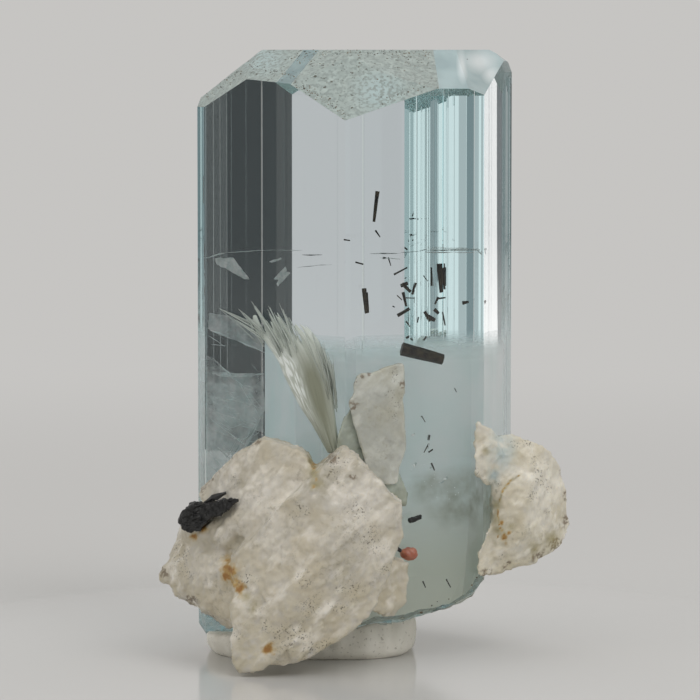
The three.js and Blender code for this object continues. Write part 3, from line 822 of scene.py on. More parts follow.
# The clump on the right: a thin brown line round one rounded grain, then stains as above.
RIGHT_LINE = [
    (12.0, 14.6), (11.3, 14.2), (10.7, 13.5), (10.4, 12.6), (10.3, 11.6), (10.4, 10.6), (10.9, 9.9),
]
RIGHT_RUST = spots_along(RIGHT_LINE, 7, 0.035)
RIGHT_RUST += [(10.6, 10.9, 0.12), (10.8, 9.7, 0.2), (10.3, 9.8, 0.10), (11.2, 10.1, 0.10), (10.9, 9.3, 0.12)]
RIGHT_OLIVE = spots_along(RIGHT_LINE, 8, 0.09)
RIGHT_OLIVE += [
    (10.2, 12.2, 0.35), (10.1, 11.2, 0.4), (10.3, 10.3, 0.4), (11.3, 10.6, 0.3), (9.3, 16.6, 0.3),
    (14.6, 9.3, 0.6), (13.3, 8.6, 0.45), (9.8, 19.0, 0.3),
]
RIGHT_RIND = [
    (14.4, 17.3, 0.35), (15.0, 16.2, 0.3), (15.6, 14.4, 0.3), (15.9, 12.6, 0.3), (15.9, 10.6, 0.35),
    (15.0, 8.8, 0.4), (13.6, 8.0, 0.35), (11.0, 7.4, 0.3), (9.4, 6.9, 0.3), (14.2, 17.6, 0.35),
]
RIGHT_DIRT = [
    (13.1, 17.4, 0.35), (12.7, 17.0, 0.35), (13.2, 15.7, 0.26), (13.3, 15.0, 0.28), (13.5, 14.3, 0.34),
    (13.9, 13.8, 0.34), (14.3, 13.3, 0.34), (13.2, 13.4, 0.3), (12.9, 12.9, 0.3), (8.5, 14.8, 0.35),
    (14.3, 11.6, 0.2), (11.6, 16.9, 0.35), (10.3, 13.9, 0.16), (10.5, 17.6, 0.2), (10.6, 8.2, 0.2),
]
# Middle x, z, half width and half height in mm of where the crystal grew a clear skin over it.
GROWN_OVER = [(10.6, 16.6, 1.5, 2.3), (10.0, 14.6, 0.7, 1.2)]


def reach_of(spots, point):
    """How strongly a set of stains covers a point, from 0 to 1."""
    wander = 1 + 0.8 * noise.noise(point / (0.6 * MM)) + 0.5 * noise.noise(point / (0.25 * MM))
    return max([0.0] + [1 - math.hypot(point.x / MM - x, point.z / MM - z) / (r * 1.6 * max(0.3, wander))
                        for x, z, r in spots])


def even_skin(carrier, cell):
    """An object's shape as a fine, even skin; the object itself is thrown away."""
    bpy.context.scene.collection.objects.link(carrier)
    remesh = carrier.modifiers.new("even_skin", "REMESH")
    remesh.mode = "VOXEL"
    remesh.voxel_size = cell * MM
    fine = carrier.evaluated_get(bpy.context.evaluated_depsgraph_get()).to_mesh()
    bm = bmesh.new()
    bm.from_mesh(fine)
    bpy.data.objects.remove(carrier)
    return bm


def sculpted_copy(node, cell, lumps=()):
    """A CAD node's shape, with round lumps grown onto it, as a fine, even skin ready to be worked."""
    bm = merged_copy(node)
    for x, y, z, radius in lumps:
        bmesh.ops.create_icosphere(bm, subdivisions=2, radius=radius * MM,
                                   matrix=Matrix.Translation(Vector((x, y, z)) * MM))
    carrier = bpy.data.objects.new("carrier", bpy.data.meshes.new("carrier"))
    bm.to_mesh(carrier.data)
    bm.free()
    return even_skin(carrier, cell)


def softened(bm, times):
    for _ in range(times):
        bmesh.ops.smooth_vert(bm, verts=bm.verts, factor=0.5, use_axis_x=True, use_axis_y=True,
                              use_axis_z=True)


def chipped(spot, size, seed):
    """The height of a crystalline break: flat chips of one size, each tipped its own way."""
    near, points = noise.voronoi(spot / size)
    tip = noise.noise_vector(points[0] * 3.1 + Vector((seed, 0, 0)))
    return (spot / size - points[0]).dot(tip) + 0.5 * noise.noise(points[0] * 1.7 + Vector((0, seed, 0)))


def albite_relief(point, ledges):
    """How far in mm the sugary surface stands from the block's own shape at a point."""
    spot = point / MM
    along = (spot.dot(LEDGE_WAY) + 1.3 * noise.noise(spot / 3.4)) / LEDGE_STEP
    share = along - math.floor(along)
    ledge = (share if share < 0.8 else (1 - share) / 0.2) - 0.45
    streaked = Vector((spot.dot(LEDGE_RUN) / 2.4, spot.y, spot.dot(LEDGE_WAY)))
    return (ledges * LEDGE_RISE * ledge + 0.20 * chipped(streaked, 1.3, 1) + 0.10 * chipped(spot, 0.7, 5)
            + 0.10 * noise.noise(streaked / 0.9) + 0.10 * noise.noise(spot / 0.42)
            + 0.05 * noise.noise(spot / 0.2))


def stained(bm, *spot_sets):
    """Stores how strongly each set of stains covers each point, as one colour attribute."""
    stain = bm.verts.layers.float_color.new("stain")
    for v in bm.verts:
        front = 1.0 if v.normal.y < 0.5 else 0.3
        v[stain] = tuple(reach_of(spots, v.co) * front for spots in spot_sets)


def albite_mesh(node, ledges, lumps, *spot_sets):
    bm = sculpted_copy(node, ALBITE_CELL, lumps)
    softened(bm, 4)
    bm.normal_update()
    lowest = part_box(node)[0].z
    for v, lift in [(v, albite_relief(v.co, ledges)) for v in bm.verts]:
        v.co += v.normal * lift * MM
        v.co.z = max(v.co.z, lowest)
    bm.normal_update()
    stained(bm, *spot_sets)
    return bm


def streaks(new, link, turn, stretch, scale, low, high):
    """A 0 to 1 pattern of streaks that lean by turn degrees from the horizontal."""
    place = new("ShaderNodeTexCoord")
    lean = new("ShaderNodeMapping")
    lean.vector_type = "TEXTURE"
    lean.inputs["Rotation"].default_value = (0, math.radians(-turn), 0)
    lean.inputs["Scale"].default_value = (stretch, 1, 1)
    pattern = new("ShaderNodeTexNoise")
    pattern.inputs["Scale"].default_value = scale
    pattern.inputs["Detail"].default_value = 4
    spread = new("ShaderNodeMapRange")
    spread.inputs["From Min"].default_value = low
    spread.inputs["From Max"].default_value = high
    link(place.outputs["Object"], lean.inputs["Vector"])
    link(lean.outputs["Vector"], pattern.inputs["Vector"])
    link(pattern.outputs[0], spread.inputs["Value"])
    return spread.outputs["Result"]


def albite(name, light, shade, glaze=0.3, grown_over=()):
    """Albite: warm white grains, faintly clear, with iron stain and black dust where it is worn."""
    material, skin, new, link = principled(name, light, 0.42)
    stain = new("ShaderNodeAttribute")
    stain.attribute_name = "stain"
    parts = new("ShaderNodeSeparateColor")
    link(stain.outputs["Color"], parts.inputs["Color"])
    # painted light and shade: lighter and darker streaks along the ledges, as light falls on their ridges
    body = blended(new, link, streaks(new, link, 40, 2.4, 520, 0.40, 0.62), light, shade)
    # darker and yellower towards the bottom: painted shade, with a yellower tone of its own
    body = blended(new, link, joined(new, link, height_share(new, link, 13.5, 3.0), 0.62), body,
                   (light[0] * 0.80, light[1] * 0.76, light[2] * 0.62))
    body = blended(new, link, grain(new, link, 1300, 4, 0.45, 0.70), body, tuple(c * 0.80 for c in light))
    cloud = joined(new, link, grain(new, link, 310, 3, 0.47, 0.66), 0.6)
    body = blended(new, link, cloud, body, (light[0] * 0.74, light[1] * 0.69, light[2] * 0.56))
    # a painted sheen: brighter streaks along the ridges
    painted_sheen = streaks(new, link, 40, 2.0, 800, 0.52, 0.72)
    body = blended(new, link, painted_sheen, body, tuple(min(1, c * 1.15) for c in light))
    dust = joined(new, link, grain(new, link, 420, 2, 0.50, 0.66), grain(new, link, 3800, 3, 0.55, 0.66))
    body = blended(new, link, joined(new, link, dust, 0.42), body, (0.30, 0.27, 0.19))
    if grown_over:      # the crystal grew a thin clear skin over it here
        skinned = joined(new, link, spot_share(new, link, grown_over), grain(new, link, 1100, 3, 0.25, 0.55))
        body = blended(new, link, joined(new, link, skinned, 0.8), body, (0.50, 0.60, 0.61))
    worn = grain(new, link, 3200, 2, 0.40, 0.56)
    rind = joined(new, link, joined(new, link, parts.outputs["Blue"], 2.5), worn)
    body = blended(new, link, joined(new, link, rind, 0.8), body, (0.18, 0.13, 0.08))
    olive = joined(new, link, stain.outputs["Alpha"], 0.8)
    body = blended(new, link, olive, body, (0.33, 0.28, 0.12))
    rust = joined(new, link, parts.outputs["Red"], grain(new, link, 1300, 3, 0.15, 0.60))
    body = blended(new, link, joined(new, link, rust, 2.2), body, (0.52, 0.36, 0.13))
    core = joined(new, link, joined(new, link, rust, 0.22, "SUBTRACT"), grain(new, link, 1600, 3, 0.30, 0.60))
    core = joined(new, link, core, 3.6)
    body = blended(new, link, joined(new, link, core, 0.9), body, (0.34, 0.155, 0.035))
    dots = grain(new, link, 6500, 2, 0.57, 0.64)
    dirt = joined(new, link, joined(new, link, parts.outputs["Green"], 1.6), dots)
    body = blended(new, link, joined(new, link, dirt, 0.72), body, (0.09, 0.075, 0.05))
    link(body, skin.inputs["Base Color"])
    skin.inputs["Subsurface Weight"].default_value = glaze
    skin.inputs["Subsurface Radius"].default_value = (1.0, 0.9, 0.7)
    skin.inputs["Subsurface Scale"].default_value = 0.4 * MM
    bumped(new, link, skin, grain(new, link, 3200, 4, 0.2, 0.8), 0.6, 0.05 * MM)
    return material


bm = albite_mesh("albite_front", 1.0, FRONT_LUMPS, FRONT_RUST, FRONT_DIRT, FRONT_RIND, FRONT_OLIVE)
front_clump = piece_from(bm, "front_albite", albite("front_albite", (0.74, 0.70, 0.62), (0.52, 0.485, 0.40)),
                         smooth=True)
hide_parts("albite_front")
bm = albite_mesh("albite_right", 0.4, (), RIGHT_RUST, RIGHT_DIRT, RIGHT_RIND, RIGHT_OLIVE)
right_finish = albite("right_albite", (0.84, 0.80, 0.70), (0.65, 0.61, 0.50), 0.3, GROWN_OVER)
right_clump = piece_from(bm, "right_albite", right_finish, smooth=True)
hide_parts("albite_right")


# ---------------------------------------------------------------------------------------------
# The single albite blade. One flat, cloudy crystal that stands on the front right face above
# the clump, with brown dust along its broken edges and a paler, half clear root at its foot.
# ---------------------------------------------------------------------------------------------
BLADE_CELL = 0.11
# Stains as on the clumps: black dirt, then brown rind.
BLADE_DIRT = [(2.3, 22.4, 0.4), (1.9, 21.2, 0.3), (2.6, 20.4, 0.45), (2.1, 19.4, 0.35), (-0.7, 22.2, 0.2)]
BLADE_RIND = [(-0.9, 22.3, 0.12), (-0.3, 22.6, 0.12), (0.3, 22.8, 0.12), (-1.0, 20.3, 0.3), (2.9, 21.9, 0.2)]
# Corners x, z in mm of the blade, as far as it stands clear of the clump, and of the paler, half
# clear root beside it.
BLADE_PLAN = [
    (-0.63, 22.65), (-0.2, 22.85), (0.3, 22.8), (1.4, 23.2), (2.6, 23.55), (2.95, 23.4), (3.07, 21.3),
    (2.84, 20.69), (2.99, 19.77), (3.14, 16.84), (2.6, 15.4), (2.45, 14.2), (0.6, 14.1), (0.0, 15.6),
    (-0.30, 16.96), (-0.75, 18.4), (-1.1, 19.6), (-1.28, 20.6), (-0.9, 21.4), (-0.95, 22.0),
]
ROOT_PLAN = [
    (-2.23, 16.9), (-2.1, 18.2), (-1.7, 19.3), (-1.15, 20.2), (-0.4, 19.4), (-0.2, 17.4), (0.6, 15.6),
    (2.6, 14.9), (3.25, 13.4), (3.1, 12.4), (1.6, 12.4), (0.6, 13.9), (-0.3, 15.0), (-1.2, 16.1),
]


def slab_mesh(plan, near, far, relief):
    """A flat crystal that stands on the front right face, between two depths in front of it."""
    bm = bmesh.new()
    face = bm.faces.new([bm.verts.new((x * MM, front_right_at(x, -near) * MM, z * MM)) for x, z in plan])
    grown = bmesh.ops.extrude_face_region(bm, geom=[face])
    lifted = [v for v in grown["geom"] if isinstance(v, bmesh.types.BMVert)]
    bmesh.ops.translate(bm, verts=lifted, vec=(0, (near - far) * MM, 0))
    bmesh.ops.triangulate(bm, faces=bm.faces)
    bmesh.ops.recalc_face_normals(bm, faces=bm.faces)
    carrier = bpy.data.objects.new("carrier", bpy.data.meshes.new("carrier"))
    bm.to_mesh(carrier.data)
    bm.free()
    bm = even_skin(carrier, BLADE_CELL)
    softened(bm, 3)
    bm.normal_update()
    for v, lift in [(v, relief * chipped(v.co / MM, 1.2, 2) + 0.5 * relief * noise.noise(v.co / (0.4 * MM)))
                    for v in bm.verts]:
        v.co += v.normal * lift * MM
    bm.normal_update()
    return bm


bm = slab_mesh(BLADE_PLAN, 0.15, 0.95, 0.09)
stained(bm, [], BLADE_DIRT, BLADE_RIND, [])
blade_finish = albite("cloudy_albite", (0.565, 0.575, 0.525), (0.47, 0.48, 0.43), 0.5)
blade = piece_from(bm, "cloudy_blade", blade_finish, smooth=True)
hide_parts("albite_blade")
bm = slab_mesh(ROOT_PLAN, -0.3, 0.45, 0.12)
stained(bm, [], [], [], [])
root = piece_from(bm, "blade_root", albite("clear_albite", (0.45, 0.50, 0.44), (0.34, 0.37, 0.31), 0.5),
                  smooth=True)


# ---------------------------------------------------------------------------------------------
# The feathered fan. A sheaf of fine, glassy, grey green fibres, grown together at its middle,
# that spreads up and to the left over the front left face from one root beside the blade.
# ---------------------------------------------------------------------------------------------
FAN_SEED = 5
# The sheaf's left and right edges, x, z in mm, from its root up.
FAN_LEFT = [(-2.95, 16.6), (-3.57, 17.68), (-4.19, 18.71), (-5.08, 19.96), (-5.75, 21.18), (-6.3, 22.23),
            (-6.73, 23.28), (-7.28, 24.14), (-7.96, 25.03), (-8.6, 25.77), (-8.9, 26.7), (-9.1, 27.5)]
FAN_RIGHT = [(-1.95, 16.7), (-2.11, 17.8), (-2.26, 18.86), (-2.41, 20.16), (-2.49, 21.41), (-2.65, 22.48),
             (-2.88, 23.54), (-3.19, 24.4), (-3.65, 25.29), (-4.27, 26.03), (-5.05, 26.85), (-5.7, 27.6)]
# Loose tufts: root x, z and tip x, z in mm, width at the tip, and how many needles.
FAN_TUFTS = [
    (-8.1, 25.3, -11.4, 27.25, 0.10, 9), (-7.9, 25.2, -9.9, 27.3, 0.10, 6),
    (-6.6, 24.2, -8.8, 27.9, 0.14, 14), (-6.4, 24.7, -7.8, 27.8, 0.06, 4),
    (-6.2, 24.8, -7.5, 27.7, 0.06, 4), (-5.8, 24.4, -7.2, 27.4, 0.14, 8),
    (-5.4, 24.5, -6.6, 27.9, 0.08, 5), (-5.0, 24.2, -6.2, 27.4, 0.14, 6),
    (-2.9, 21.4, -5.2, 26.2, 0.35, 5), (-2.7, 21.4, -4.3, 26.1, 0.3, 5),
    (-2.6, 21.4, -3.9, 26.0, 0.25, 5), (-2.4, 21.0, -3.3, 25.3, 0.3, 5),
    (-2.3, 20.2, -2.7, 24.4, 0.2, 5),
]
FAN_ACROSS, FAN_ALONG = 72, 64


def along_line(line, share):
    """The point at a share of the way along a line of points."""
    reach = min(max(share, 0.0), 0.9999) * (len(line) - 1)
    i = int(reach)
    return tuple(a + (b - a) * (reach - i) for a, b in zip(line[i], line[i + 1]))


def fan_point(across, along, depth):
    left, right = along_line(FAN_LEFT, along), along_line(FAN_RIGHT, along)
    x, z = (a + (b - a) * across for a, b in zip(left, right))
    return Vector((x, depth_at(x, -depth), z)) * MM


def fan_body_mesh():
    """The grown-together middle, grooved along its fibres, its far end ragged and thin."""
    bm = bmesh.new()
    stain = bm.verts.layers.float_color.new("stain")
    rings = []
    for i in range(FAN_ALONG + 1):
        front, back = [], []
        for j in range(FAN_ACROSS + 1):
            across, share = j / FAN_ACROSS, i / FAN_ALONG
            spike = noise.noise(Vector((across * 8, 3, 0))) + 0.35 * noise.noise(Vector((across * 24, 8, 0)))
            along = share * (0.90 + 0.26 * spike - 0.08 * across)
            groove = noise.noise(Vector((across * 13, along * 3, 1))) + 0.45 * noise.noise(
                Vector((across * 28, along * 4, 4)))
            bulge = math.sqrt(max(0.0, 1 - (2 * across - 1) ** 2)) * (1.0 - 0.75 * share ** 2)
            edge = min(1.0, 6 * across, 6 * (1 - across)) * min(1.0, 8 * (1 - share) + 0.1)
            v = bm.verts.new(fan_point(across, along, 0.06 + 0.85 * bulge + 0.11 * groove * edge))
            core = math.exp(-((across - 0.60) / 0.25) ** 2) * math.exp(-((along - 0.38) / 0.24) ** 2)
            foot = 0.5 * max(0.0, 1 - along / 0.35)
            # a painted glint: white dashes along the fibres near the left edge, kept in the stain layer's
            # blue
            bright = math.exp(-((across - 0.15) / 0.16) ** 2) * math.exp(-((along - 0.46) / 0.18) ** 2)
            bright *= min(1.0, max(0.0, 0.25 + 4 * noise.noise(Vector((across * 26, along * 15, 9)))))
            v[stain] = (min(1.0, max(0.0, 0.5 + 0.7 * groove)), min(1.0, 1.25 * core + foot), bright, 1)
            front.append(v)
            if 0 < j < FAN_ACROSS:
                back.append(bm.verts.new(fan_point(across, along, 0.02)))
        rings.append(front + back[::-1])
    for first, second in zip(rings, rings[1:]):
        for k in range(len(first)):
            bm.faces.new((first[k], first[k - 1], second[k - 1], second[k]))
    for ring in (rings[0], rings[-1]):
        count = len(ring)
        for j in range(1, FAN_ACROSS):
            if j == 1:
                bm.faces.new((ring[0], ring[1], ring[count - 1]))
            else:
                bm.faces.new((ring[j - 1], ring[j], ring[count - j], ring[count - j + 1]))
        bm.faces.new((ring[FAN_ACROSS - 1], ring[FAN_ACROSS], ring[FAN_ACROSS + 1]))
    bmesh.ops.recalc_face_normals(bm, faces=bm.faces)
    return bm


def fan_needle(bm, root, tip, thickness, depth, bend):
    """One tapering needle on the face, bent so that it leaves the root upright."""
    sides, steps = 3, 5
    rings = []
    for i in range(steps + 1):
        t = i / steps
        x = root[0] + (tip[0] - root[0]) * t ** bend
        z = root[1] + (tip[1] - root[1]) * t
        centre = Vector((x, depth_at(x, -depth * (1 - 0.3 * t)), z)) * MM
        radius = thickness * MM * (0.25 + 0.75 * math.sin(math.pi * min(1, 0.15 + t * 0.83)))
        rings.append([bm.verts.new(centre + radius * Vector((math.cos(a), math.sin(a), 0.2 * math.cos(a))))
                      for a in (k * math.tau / sides + 0.6 for k in range(sides))])
    bm.faces.new(rings[0])
    bm.faces.new(rings[-1])
    for first, second in zip(rings, rings[1:]):
        for k in range(sides):
            bm.faces.new((first[k], first[(k + 1) % sides], second[(k + 1) % sides], second[k]))


def needles_mesh():
    rng = random.Random(FAN_SEED)
    bm = bmesh.new()
    for x0, z0, x1, z1, width, count in FAN_TUFTS:
        for _ in range(count):
            aside = rng.gauss(0, width * 0.5)
            reach = rng.uniform(0.6, 1.03)
            root = (x0 + aside * 0.4 + rng.gauss(0, 0.08), z0 + rng.gauss(0, 0.4))
            tip = (root[0] + (x1 + aside - root[0]) * reach, root[1] + (z1 - root[1]) * reach)
            thickness, depth = rng.uniform(0.035, 0.10), rng.uniform(0.25, 0.9)
            fan_needle(bm, root, tip, thickness, depth, rng.uniform(1.0, 1.15))
    bmesh.ops.recalc_face_normals(bm, faces=bm.faces)
    return bm


def fan_glass(name, worked):
    material, skin, new, link = principled(name, roughness=0.32)
    skin.inputs["IOR"].default_value = 1.5
    tone = blended(new, link, height_share(new, link, 19.0, 26.0), (0.40, 0.43, 0.36), (0.70, 0.76, 0.71))
    if worked:
        stain = new("ShaderNodeAttribute")
        stain.attribute_name = "stain"
        parts = new("ShaderNodeSeparateColor")
        link(stain.outputs["Color"], parts.inputs["Color"])
        tone = blended(new, link, joined(new, link, parts.outputs["Red"], 0.6), tone, (0.62, 0.67, 0.60))
        tone = blended(new, link, joined(new, link, parts.outputs["Green"], 0.9), tone, (0.225, 0.235, 0.16))
        # the stain layer's blue is a painted glint
        glint = parts.outputs["Blue"]
        tone = blended(new, link, joined(new, link, glint, glint, "ADD"), tone, (0.92, 0.97, 0.94))
    link(tone, skin.inputs["Base Color"])
    skin.inputs["Alpha"].default_value = 1.0 if worked else 0.6
    return material


fan_body = piece_from(fan_body_mesh(), "fan_body", fan_glass("fan_body_glass", True), smooth=True)
needles = piece_from(needles_mesh(), "fan_needles", fan_glass("fan_needle_glass", False), smooth=True)
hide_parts("feathered_blade")


# ---------------------------------------------------------------------------------------------
# The schorl. A short black tourmaline prism, knobbly at its free end and ribbed lengthwise, set
# in the front clump's left edge, and two splinters of it by the garnet.
# ---------------------------------------------------------------------------------------------
SCHORL_AXIS = Vector((0.84, 0.2, 0.5)).normalized()
SCHORL_ENDS = (-14.4, -9.7)     # x in mm of its thick and its thin end
SCHORL_HEIGHTS = (11.7, 13.3)   # z in mm of its middle there
SCHORL_TAPER = 0.62


def schorl_mesh(node, cell, ribs, knobs):
    bm = sculpted_copy(node, cell)
    softened(bm, 1)
    if node == "schorl_crystal":
        for v in bm.verts:
            share = (v.co.x / MM - SCHORL_ENDS[0]) / (SCHORL_ENDS[1] - SCHORL_ENDS[0])
            share = min(1.0, max(0.0, share))
            middle = (SCHORL_HEIGHTS[0] + (SCHORL_HEIGHTS[1] - SCHORL_HEIGHTS[0]) * share) * MM
            v.co.z = middle + (v.co.z - middle) * (1 - SCHORL_TAPER * share ** 1.3)
        rim_thread(bm, -12.4, 12.9, -10.7, 13.85, 0.34, -9.6)
    bm.normal_update()
    across = SCHORL_AXIS.cross(Vector((0, 1, 0))).normalized()
    third = SCHORL_AXIS.cross(across)
    lifts = []
    for v in bm.verts:
        spot = v.co / MM
        flat = Vector((spot.dot(across), spot.dot(third), spot.dot(SCHORL_AXIS) * 0.12))
        lump = noise.voronoi(spot / 0.55)[0]
        rib = ribs * noise.noise(flat / 0.16)
        lifts.append(rib + knobs * (lump[1] - lump[0]) + 0.3 * knobs * noise.noise(spot / 0.2))
    for v, lift in zip(bm.verts, lifts):
        v.co += v.normal * lift * MM
    return bm


def schorl():
    material, skin, new, link = principled("schorl", roughness=0.3)
    worn = grain(new, link, 1600, 3, 0.45, 0.7)
    link(blended(new, link, worn, (0.004, 0.004, 0.004), (0.018, 0.018, 0.017)), skin.inputs["Base Color"])
    bumped(new, link, skin, grain(new, link, 6000, 3, 0.2, 0.8), 0.5, 0.03 * MM)
    return material


black = schorl()
for node, name, cell, ribs, knobs in (("schorl_crystal", "schorl_prism", 0.09, 0.10, 0.22),
                                      ("schorl_splinter_upper", "upper_splinter", 0.06, 0.04, 0.08),
                                      ("schorl_splinter_lower", "lower_splinter", 0.06, 0.04, 0.08)):
    splinter = piece_from(schorl_mesh(node, cell, ribs, knobs), name, black)
    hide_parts(node)


# ---------------------------------------------------------------------------------------------
# The garnet. One small orange pink crystal, rounded by its many faces, that grew by the
# splinters at the right edge of the front clump.
# ---------------------------------------------------------------------------------------------
GARNET_HALF = (0.70, 0.55, 0.50)
GARNET_SINK = 0.35


def garnet_finish():
    material, skin, new, link = principled("garnet", roughness=0.3)
    link(blended(new, link, grain(new, link, 1500, 3), (0.34, 0.10, 0.055), (0.50, 0.21, 0.14)),
         skin.inputs["Base Color"])
    skin.inputs["Subsurface Weight"].default_value = 0.3
    skin.inputs["Subsurface Scale"].default_value = 0.3 * MM
    bumped(new, link, skin, grain(new, link, 5000, 3, 0.2, 0.8), 0.3, 0.03 * MM)
    return material


bm = bmesh.new()
bmesh.ops.create_icosphere(bm, subdivisions=4, radius=1)
low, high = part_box("garnet")
for v in bm.verts:
    lump = 1 + 0.20 * noise.noise(v.co * 1.5) + 0.07 * noise.noise(v.co * 4)
    v.co = (low + high) / 2 + Vector(half * c for half, c in zip(GARNET_HALF, v.co)) * lump * MM
    v.co.z -= GARNET_SINK * MM
stone = piece_from(bm, "garnet_grain", garnet_finish(), smooth=True)
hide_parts("garnet")


# ---------------------------------------------------------------------------------------------
# The pad. A lump of grey white mineral tack, pressed flat under the specimen to stand it up, its
# edge pinched into shallow upright ribs by a thumb.
# ---------------------------------------------------------------------------------------------
PAD_CELL = 0.22
PAD_RIBS = 34
PAD_RIB_DEPTH = 0.10


def putty():
    material, skin, new, link = principled("putty", roughness=0.65)
    tone = blended(new, link, grain(new, link, 500, 3), (0.90, 0.87, 0.77), (0.96, 0.93, 0.84))
    specks = joined(new, link, grain(new, link, 3600, 3, 0.62, 0.70), 0.5)
    link(blended(new, link, specks, tone, (0.36, 0.33, 0.26)), skin.inputs["Base Color"])
    bumped(new, link, skin, grain(new, link, 3800, 4, 0.2, 0.8), 0.5, 0.05 * MM)
    return material


bm = sculpted_copy("putty_pad", PAD_CELL)
softened(bm, 2)
bm.normal_update()
low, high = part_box("putty_pad")
middle = (low + high) / 2
for v in bm.verts:
    around = math.atan2(v.co.y - middle.y, v.co.x - middle.x)
    upright = 1 - abs(v.normal.z)
    pinch = PAD_RIB_DEPTH * math.sin(PAD_RIBS * around + 3 * noise.noise(v.co / (3 * MM))) * upright
    free = min(1.0, (v.co.z - low.z) / (0.4 * MM))
    v.co += v.normal * (pinch + 0.14 * noise.noise(v.co / (1.4 * MM))) * free * MM
    v.co.z = max(v.co.z, low.z)
pad = piece_from(bm, "putty_pad_skin", putty(), smooth=True)
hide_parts("putty_pad")


# ---------------------------------------------------------------------------------------------
# The studio. A pale table with a little polish, a pale surround, three soft boxes, and upright
# cards that only the crystal shows, placed to give it the dark and bright columns of its front
# view. None of it is part of the specimen.
# ---------------------------------------------------------------------------------------------
SURROUND = (0.565, 0.556, 0.541)
CARD_DISTANCE = 150
CARD_TOP = 200
CARD_FOOT = -20
# Heights in mm between which a mirrored card shows, each with where it has faded into the surround.
CARD_FADES = ((16.0, 26.0), (52.0, 44.0))
# How far in metres from the specimen's middle the table's polish ends, and its top fades out.
POLISH_REACH = (0.018, 0.042)
TABLE_FADE = (0.03, 0.28)
POLISH = 0.3
CAMERA_PLACE = (-1.2, -310.65, 47.6)
CAMERA_DIP = 4.36
CAMERA_LENS = 202.5
# From and to in degrees of azimuth, the light that each card gives, and whether it is met by
# light that has come through the crystal or by light that its faces mirror.
CARDS = {
    "right_back_flag": (34, 60, (0.004, 0.005, 0.006), "through"),
    "back_line_card": (60.5, 64.5, (0.20, 0.185, 0.175), "through"),
    "back_right_card": (65, 75, (0.47, 0.47, 0.46), "through"),
    "left_back_flag": (116, 136.15, (0.20, 0.21, 0.22), "through"),
    "left_back_box": (136.15, 150, (1.34, 1.26, 1.24), "through"),
    "left_dark_card": (174, 187, (0.19, 0.24, 0.25), "through"),
    "left_box": (187, 192, (0.725, 0.79, 0.785), "through"),
    "left_grey_card": (192, 200.5, (0.45, 0.49, 0.49), "through"),
    "left_narrow_flag": (200.5, 214, (0.12, 0.17, 0.18), "through"),
    "front_dark_flag": (250, 256.25, (0.06, 0.08, 0.08), "through"),
    "front_flag": (256.25, 260, (0.22, 0.28, 0.28), "through"),
    "right_front_box": (306, 311.5, (0.815, 0.82, 0.80), "through"),
    "right_front_flag": (312.5, 330, (0.29, 0.31, 0.31), "through"),
    "back_card": (84, 95, (0.525, 0.51, 0.515), "through"),
    "left_narrow_mirrored_flag": (126, 140, (0.18, 0.20, 0.20), "mirrored"),
    "left_mirrored_flag": (184, 198, (0.30, 0.30, 0.30), "mirrored"),
    "front_mirrored_flag": (300, 318, (0.20, 0.22, 0.24), "mirrored"),
    "back_mirrored_flag": (56, 68, (0.14, 0.14, 0.14), "mirrored"),
}


def glow(name, colour, fades):
    material = bpy.data.materials.new(name)
    material.use_nodes = True
    material.cycles.emission_sampling = "NONE"
    tree = material.node_tree
    tree.nodes.remove(tree.nodes["Principled BSDF"])
    light = tree.nodes.new("ShaderNodeEmission")
    light.inputs["Color"].default_value = (*colour, 1)
    if fades:       # a mirrored card fades into the surround below and above the clear part
        new, link = tree.nodes.new, tree.links.new
        shown = joined(new, link, *(height_share(new, link, *fade) for fade in CARD_FADES))
        link(blended(new, link, shown, SURROUND, colour), light.inputs["Color"])
    tree.links.new(light.outputs[0], tree.nodes["Material Output"].inputs["Surface"])
    return material


def staged(bm, name, material):
    mesh = bpy.data.meshes.new(name)
    bm.to_mesh(mesh)
    bm.free()
    mesh.materials.append(material)
    thing = bpy.data.objects.new(name, mesh)
    bpy.context.scene.collection.objects.link(thing)
    return thing


def light_card(name, start, end, colour, way):
    """An upright curved card round the crystal, seen through it and in its faces only."""
    low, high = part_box("aquamarine_crystal")
    middle = (low + high) / 2
    bm = bmesh.new()
    first = bm.verts.new(middle + CARD_DISTANCE * MM * Vector(
        (math.cos(math.radians(start)), math.sin(math.radians(start)), 0)))
    first.co.z = CARD_FOOT * MM
    top = bm.verts.new((first.co.x, first.co.y, CARD_TOP * MM))
    edge = bm.edges.new((first, top))
    bmesh.ops.spin(bm, geom=[first, top, edge], cent=middle, axis=(0, 0, 1), steps=8,
                   angle=math.radians(end - start))
    card = staged(bm, name, glow(name, colour, way == "mirrored"))
    card.visible_camera = False
    card.visible_diffuse = False
    card.visible_shadow = False
    card.visible_glossy = way == "mirrored"
    card.visible_transmission = way == "through"


for name, (start, end, colour, way) in CARDS.items():
    light_card(name, start, end, colour, way)


def soft_box(name, place, size, power):
    """An area light aimed at the specimen's middle."""
    data = bpy.data.lights.new(name, "AREA")
    data.shape = "RECTANGLE"
    data.size, data.size_y = size[0] * MM, size[1] * MM
    data.energy = power
    box = bpy.data.objects.new(name, data)
    box.location = Vector(place) * MM
    box.rotation_euler = (Vector((0, 0, 20 * MM)) - box.location).to_track_quat("-Z", "Y").to_euler()
    box.visible_camera = False
    bpy.context.scene.collection.objects.link(box)


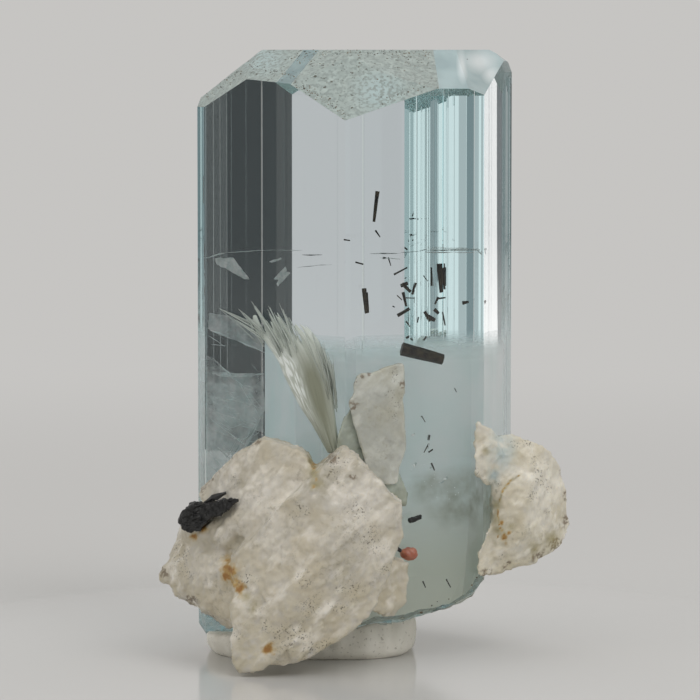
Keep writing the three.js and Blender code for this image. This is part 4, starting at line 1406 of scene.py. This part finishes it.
soft_box("key_box", (150, -200, 260), (180, 180), 0.25)
soft_box("fill_box", (-260, -120, 160), (200, 200), 0.06)
soft_box("top_box", (0, 40, 330), (260, 260), 0.12)

world = bpy.data.worlds.new("surround")
world.use_nodes = True
world.node_tree.nodes["Background"].inputs["Color"].default_value = (*SURROUND, 1)
bpy.context.scene.world = world


def table_top():
    material, skin, new, link = principled("table_top", (0.69, 0.685, 0.675), 0.12)
    polish = new("ShaderNodeMapRange")
    polish.interpolation_type = "SMOOTHSTEP"
    for socket, value in zip(polish.inputs[1:5], (*POLISH_REACH, POLISH, 0.0)):
        socket.default_value = value
    far = new("ShaderNodeEmission")
    far.inputs["Color"].default_value = (*SURROUND, 1)
    place = new("ShaderNodeTexCoord")
    reach = new("ShaderNodeVectorMath")
    reach.operation = "LENGTH"
    link(place.outputs["Object"], reach.inputs[0])
    fade = new("ShaderNodeMapRange")
    fade.interpolation_type = "SMOOTHSTEP"
    for socket, value in zip(fade.inputs[1:3], TABLE_FADE):
        socket.default_value = value
    link(reach.outputs["Value"], fade.inputs["Value"])
    link(reach.outputs["Value"], polish.inputs["Value"])
    link(polish.outputs["Result"], skin.inputs["Specular IOR Level"])
    mix = new("ShaderNodeMixShader")
    link(fade.outputs["Result"], mix.inputs["Fac"])
    link(skin.outputs[0], mix.inputs[1])
    link(far.outputs[0], mix.inputs[2])
    link(mix.outputs[0], material.node_tree.nodes["Material Output"].inputs["Surface"])
    return material


bm = bmesh.new()
bmesh.ops.create_circle(bm, cap_ends=True, segments=96, radius=4.0)
staged(bm, "table", table_top())

camera_data = bpy.data.cameras.new("camera")
camera_data.lens = CAMERA_LENS
camera_data.sensor_width = 36
camera_data.clip_start = 0.01
camera = bpy.data.objects.new("camera", camera_data)
camera.location = tuple(c * MM for c in CAMERA_PLACE)
camera.rotation_euler = (math.radians(90 - CAMERA_DIP), 0, 0)
bpy.context.scene.collection.objects.link(camera)
bpy.context.scene.camera = camera

scene = bpy.context.scene
scene.view_settings.view_transform = "Standard"
scene.cycles.max_bounces = 32
scene.cycles.transmission_bounces = 24
scene.cycles.glossy_bounces = 16
scene.cycles.transparent_max_bounces = 16
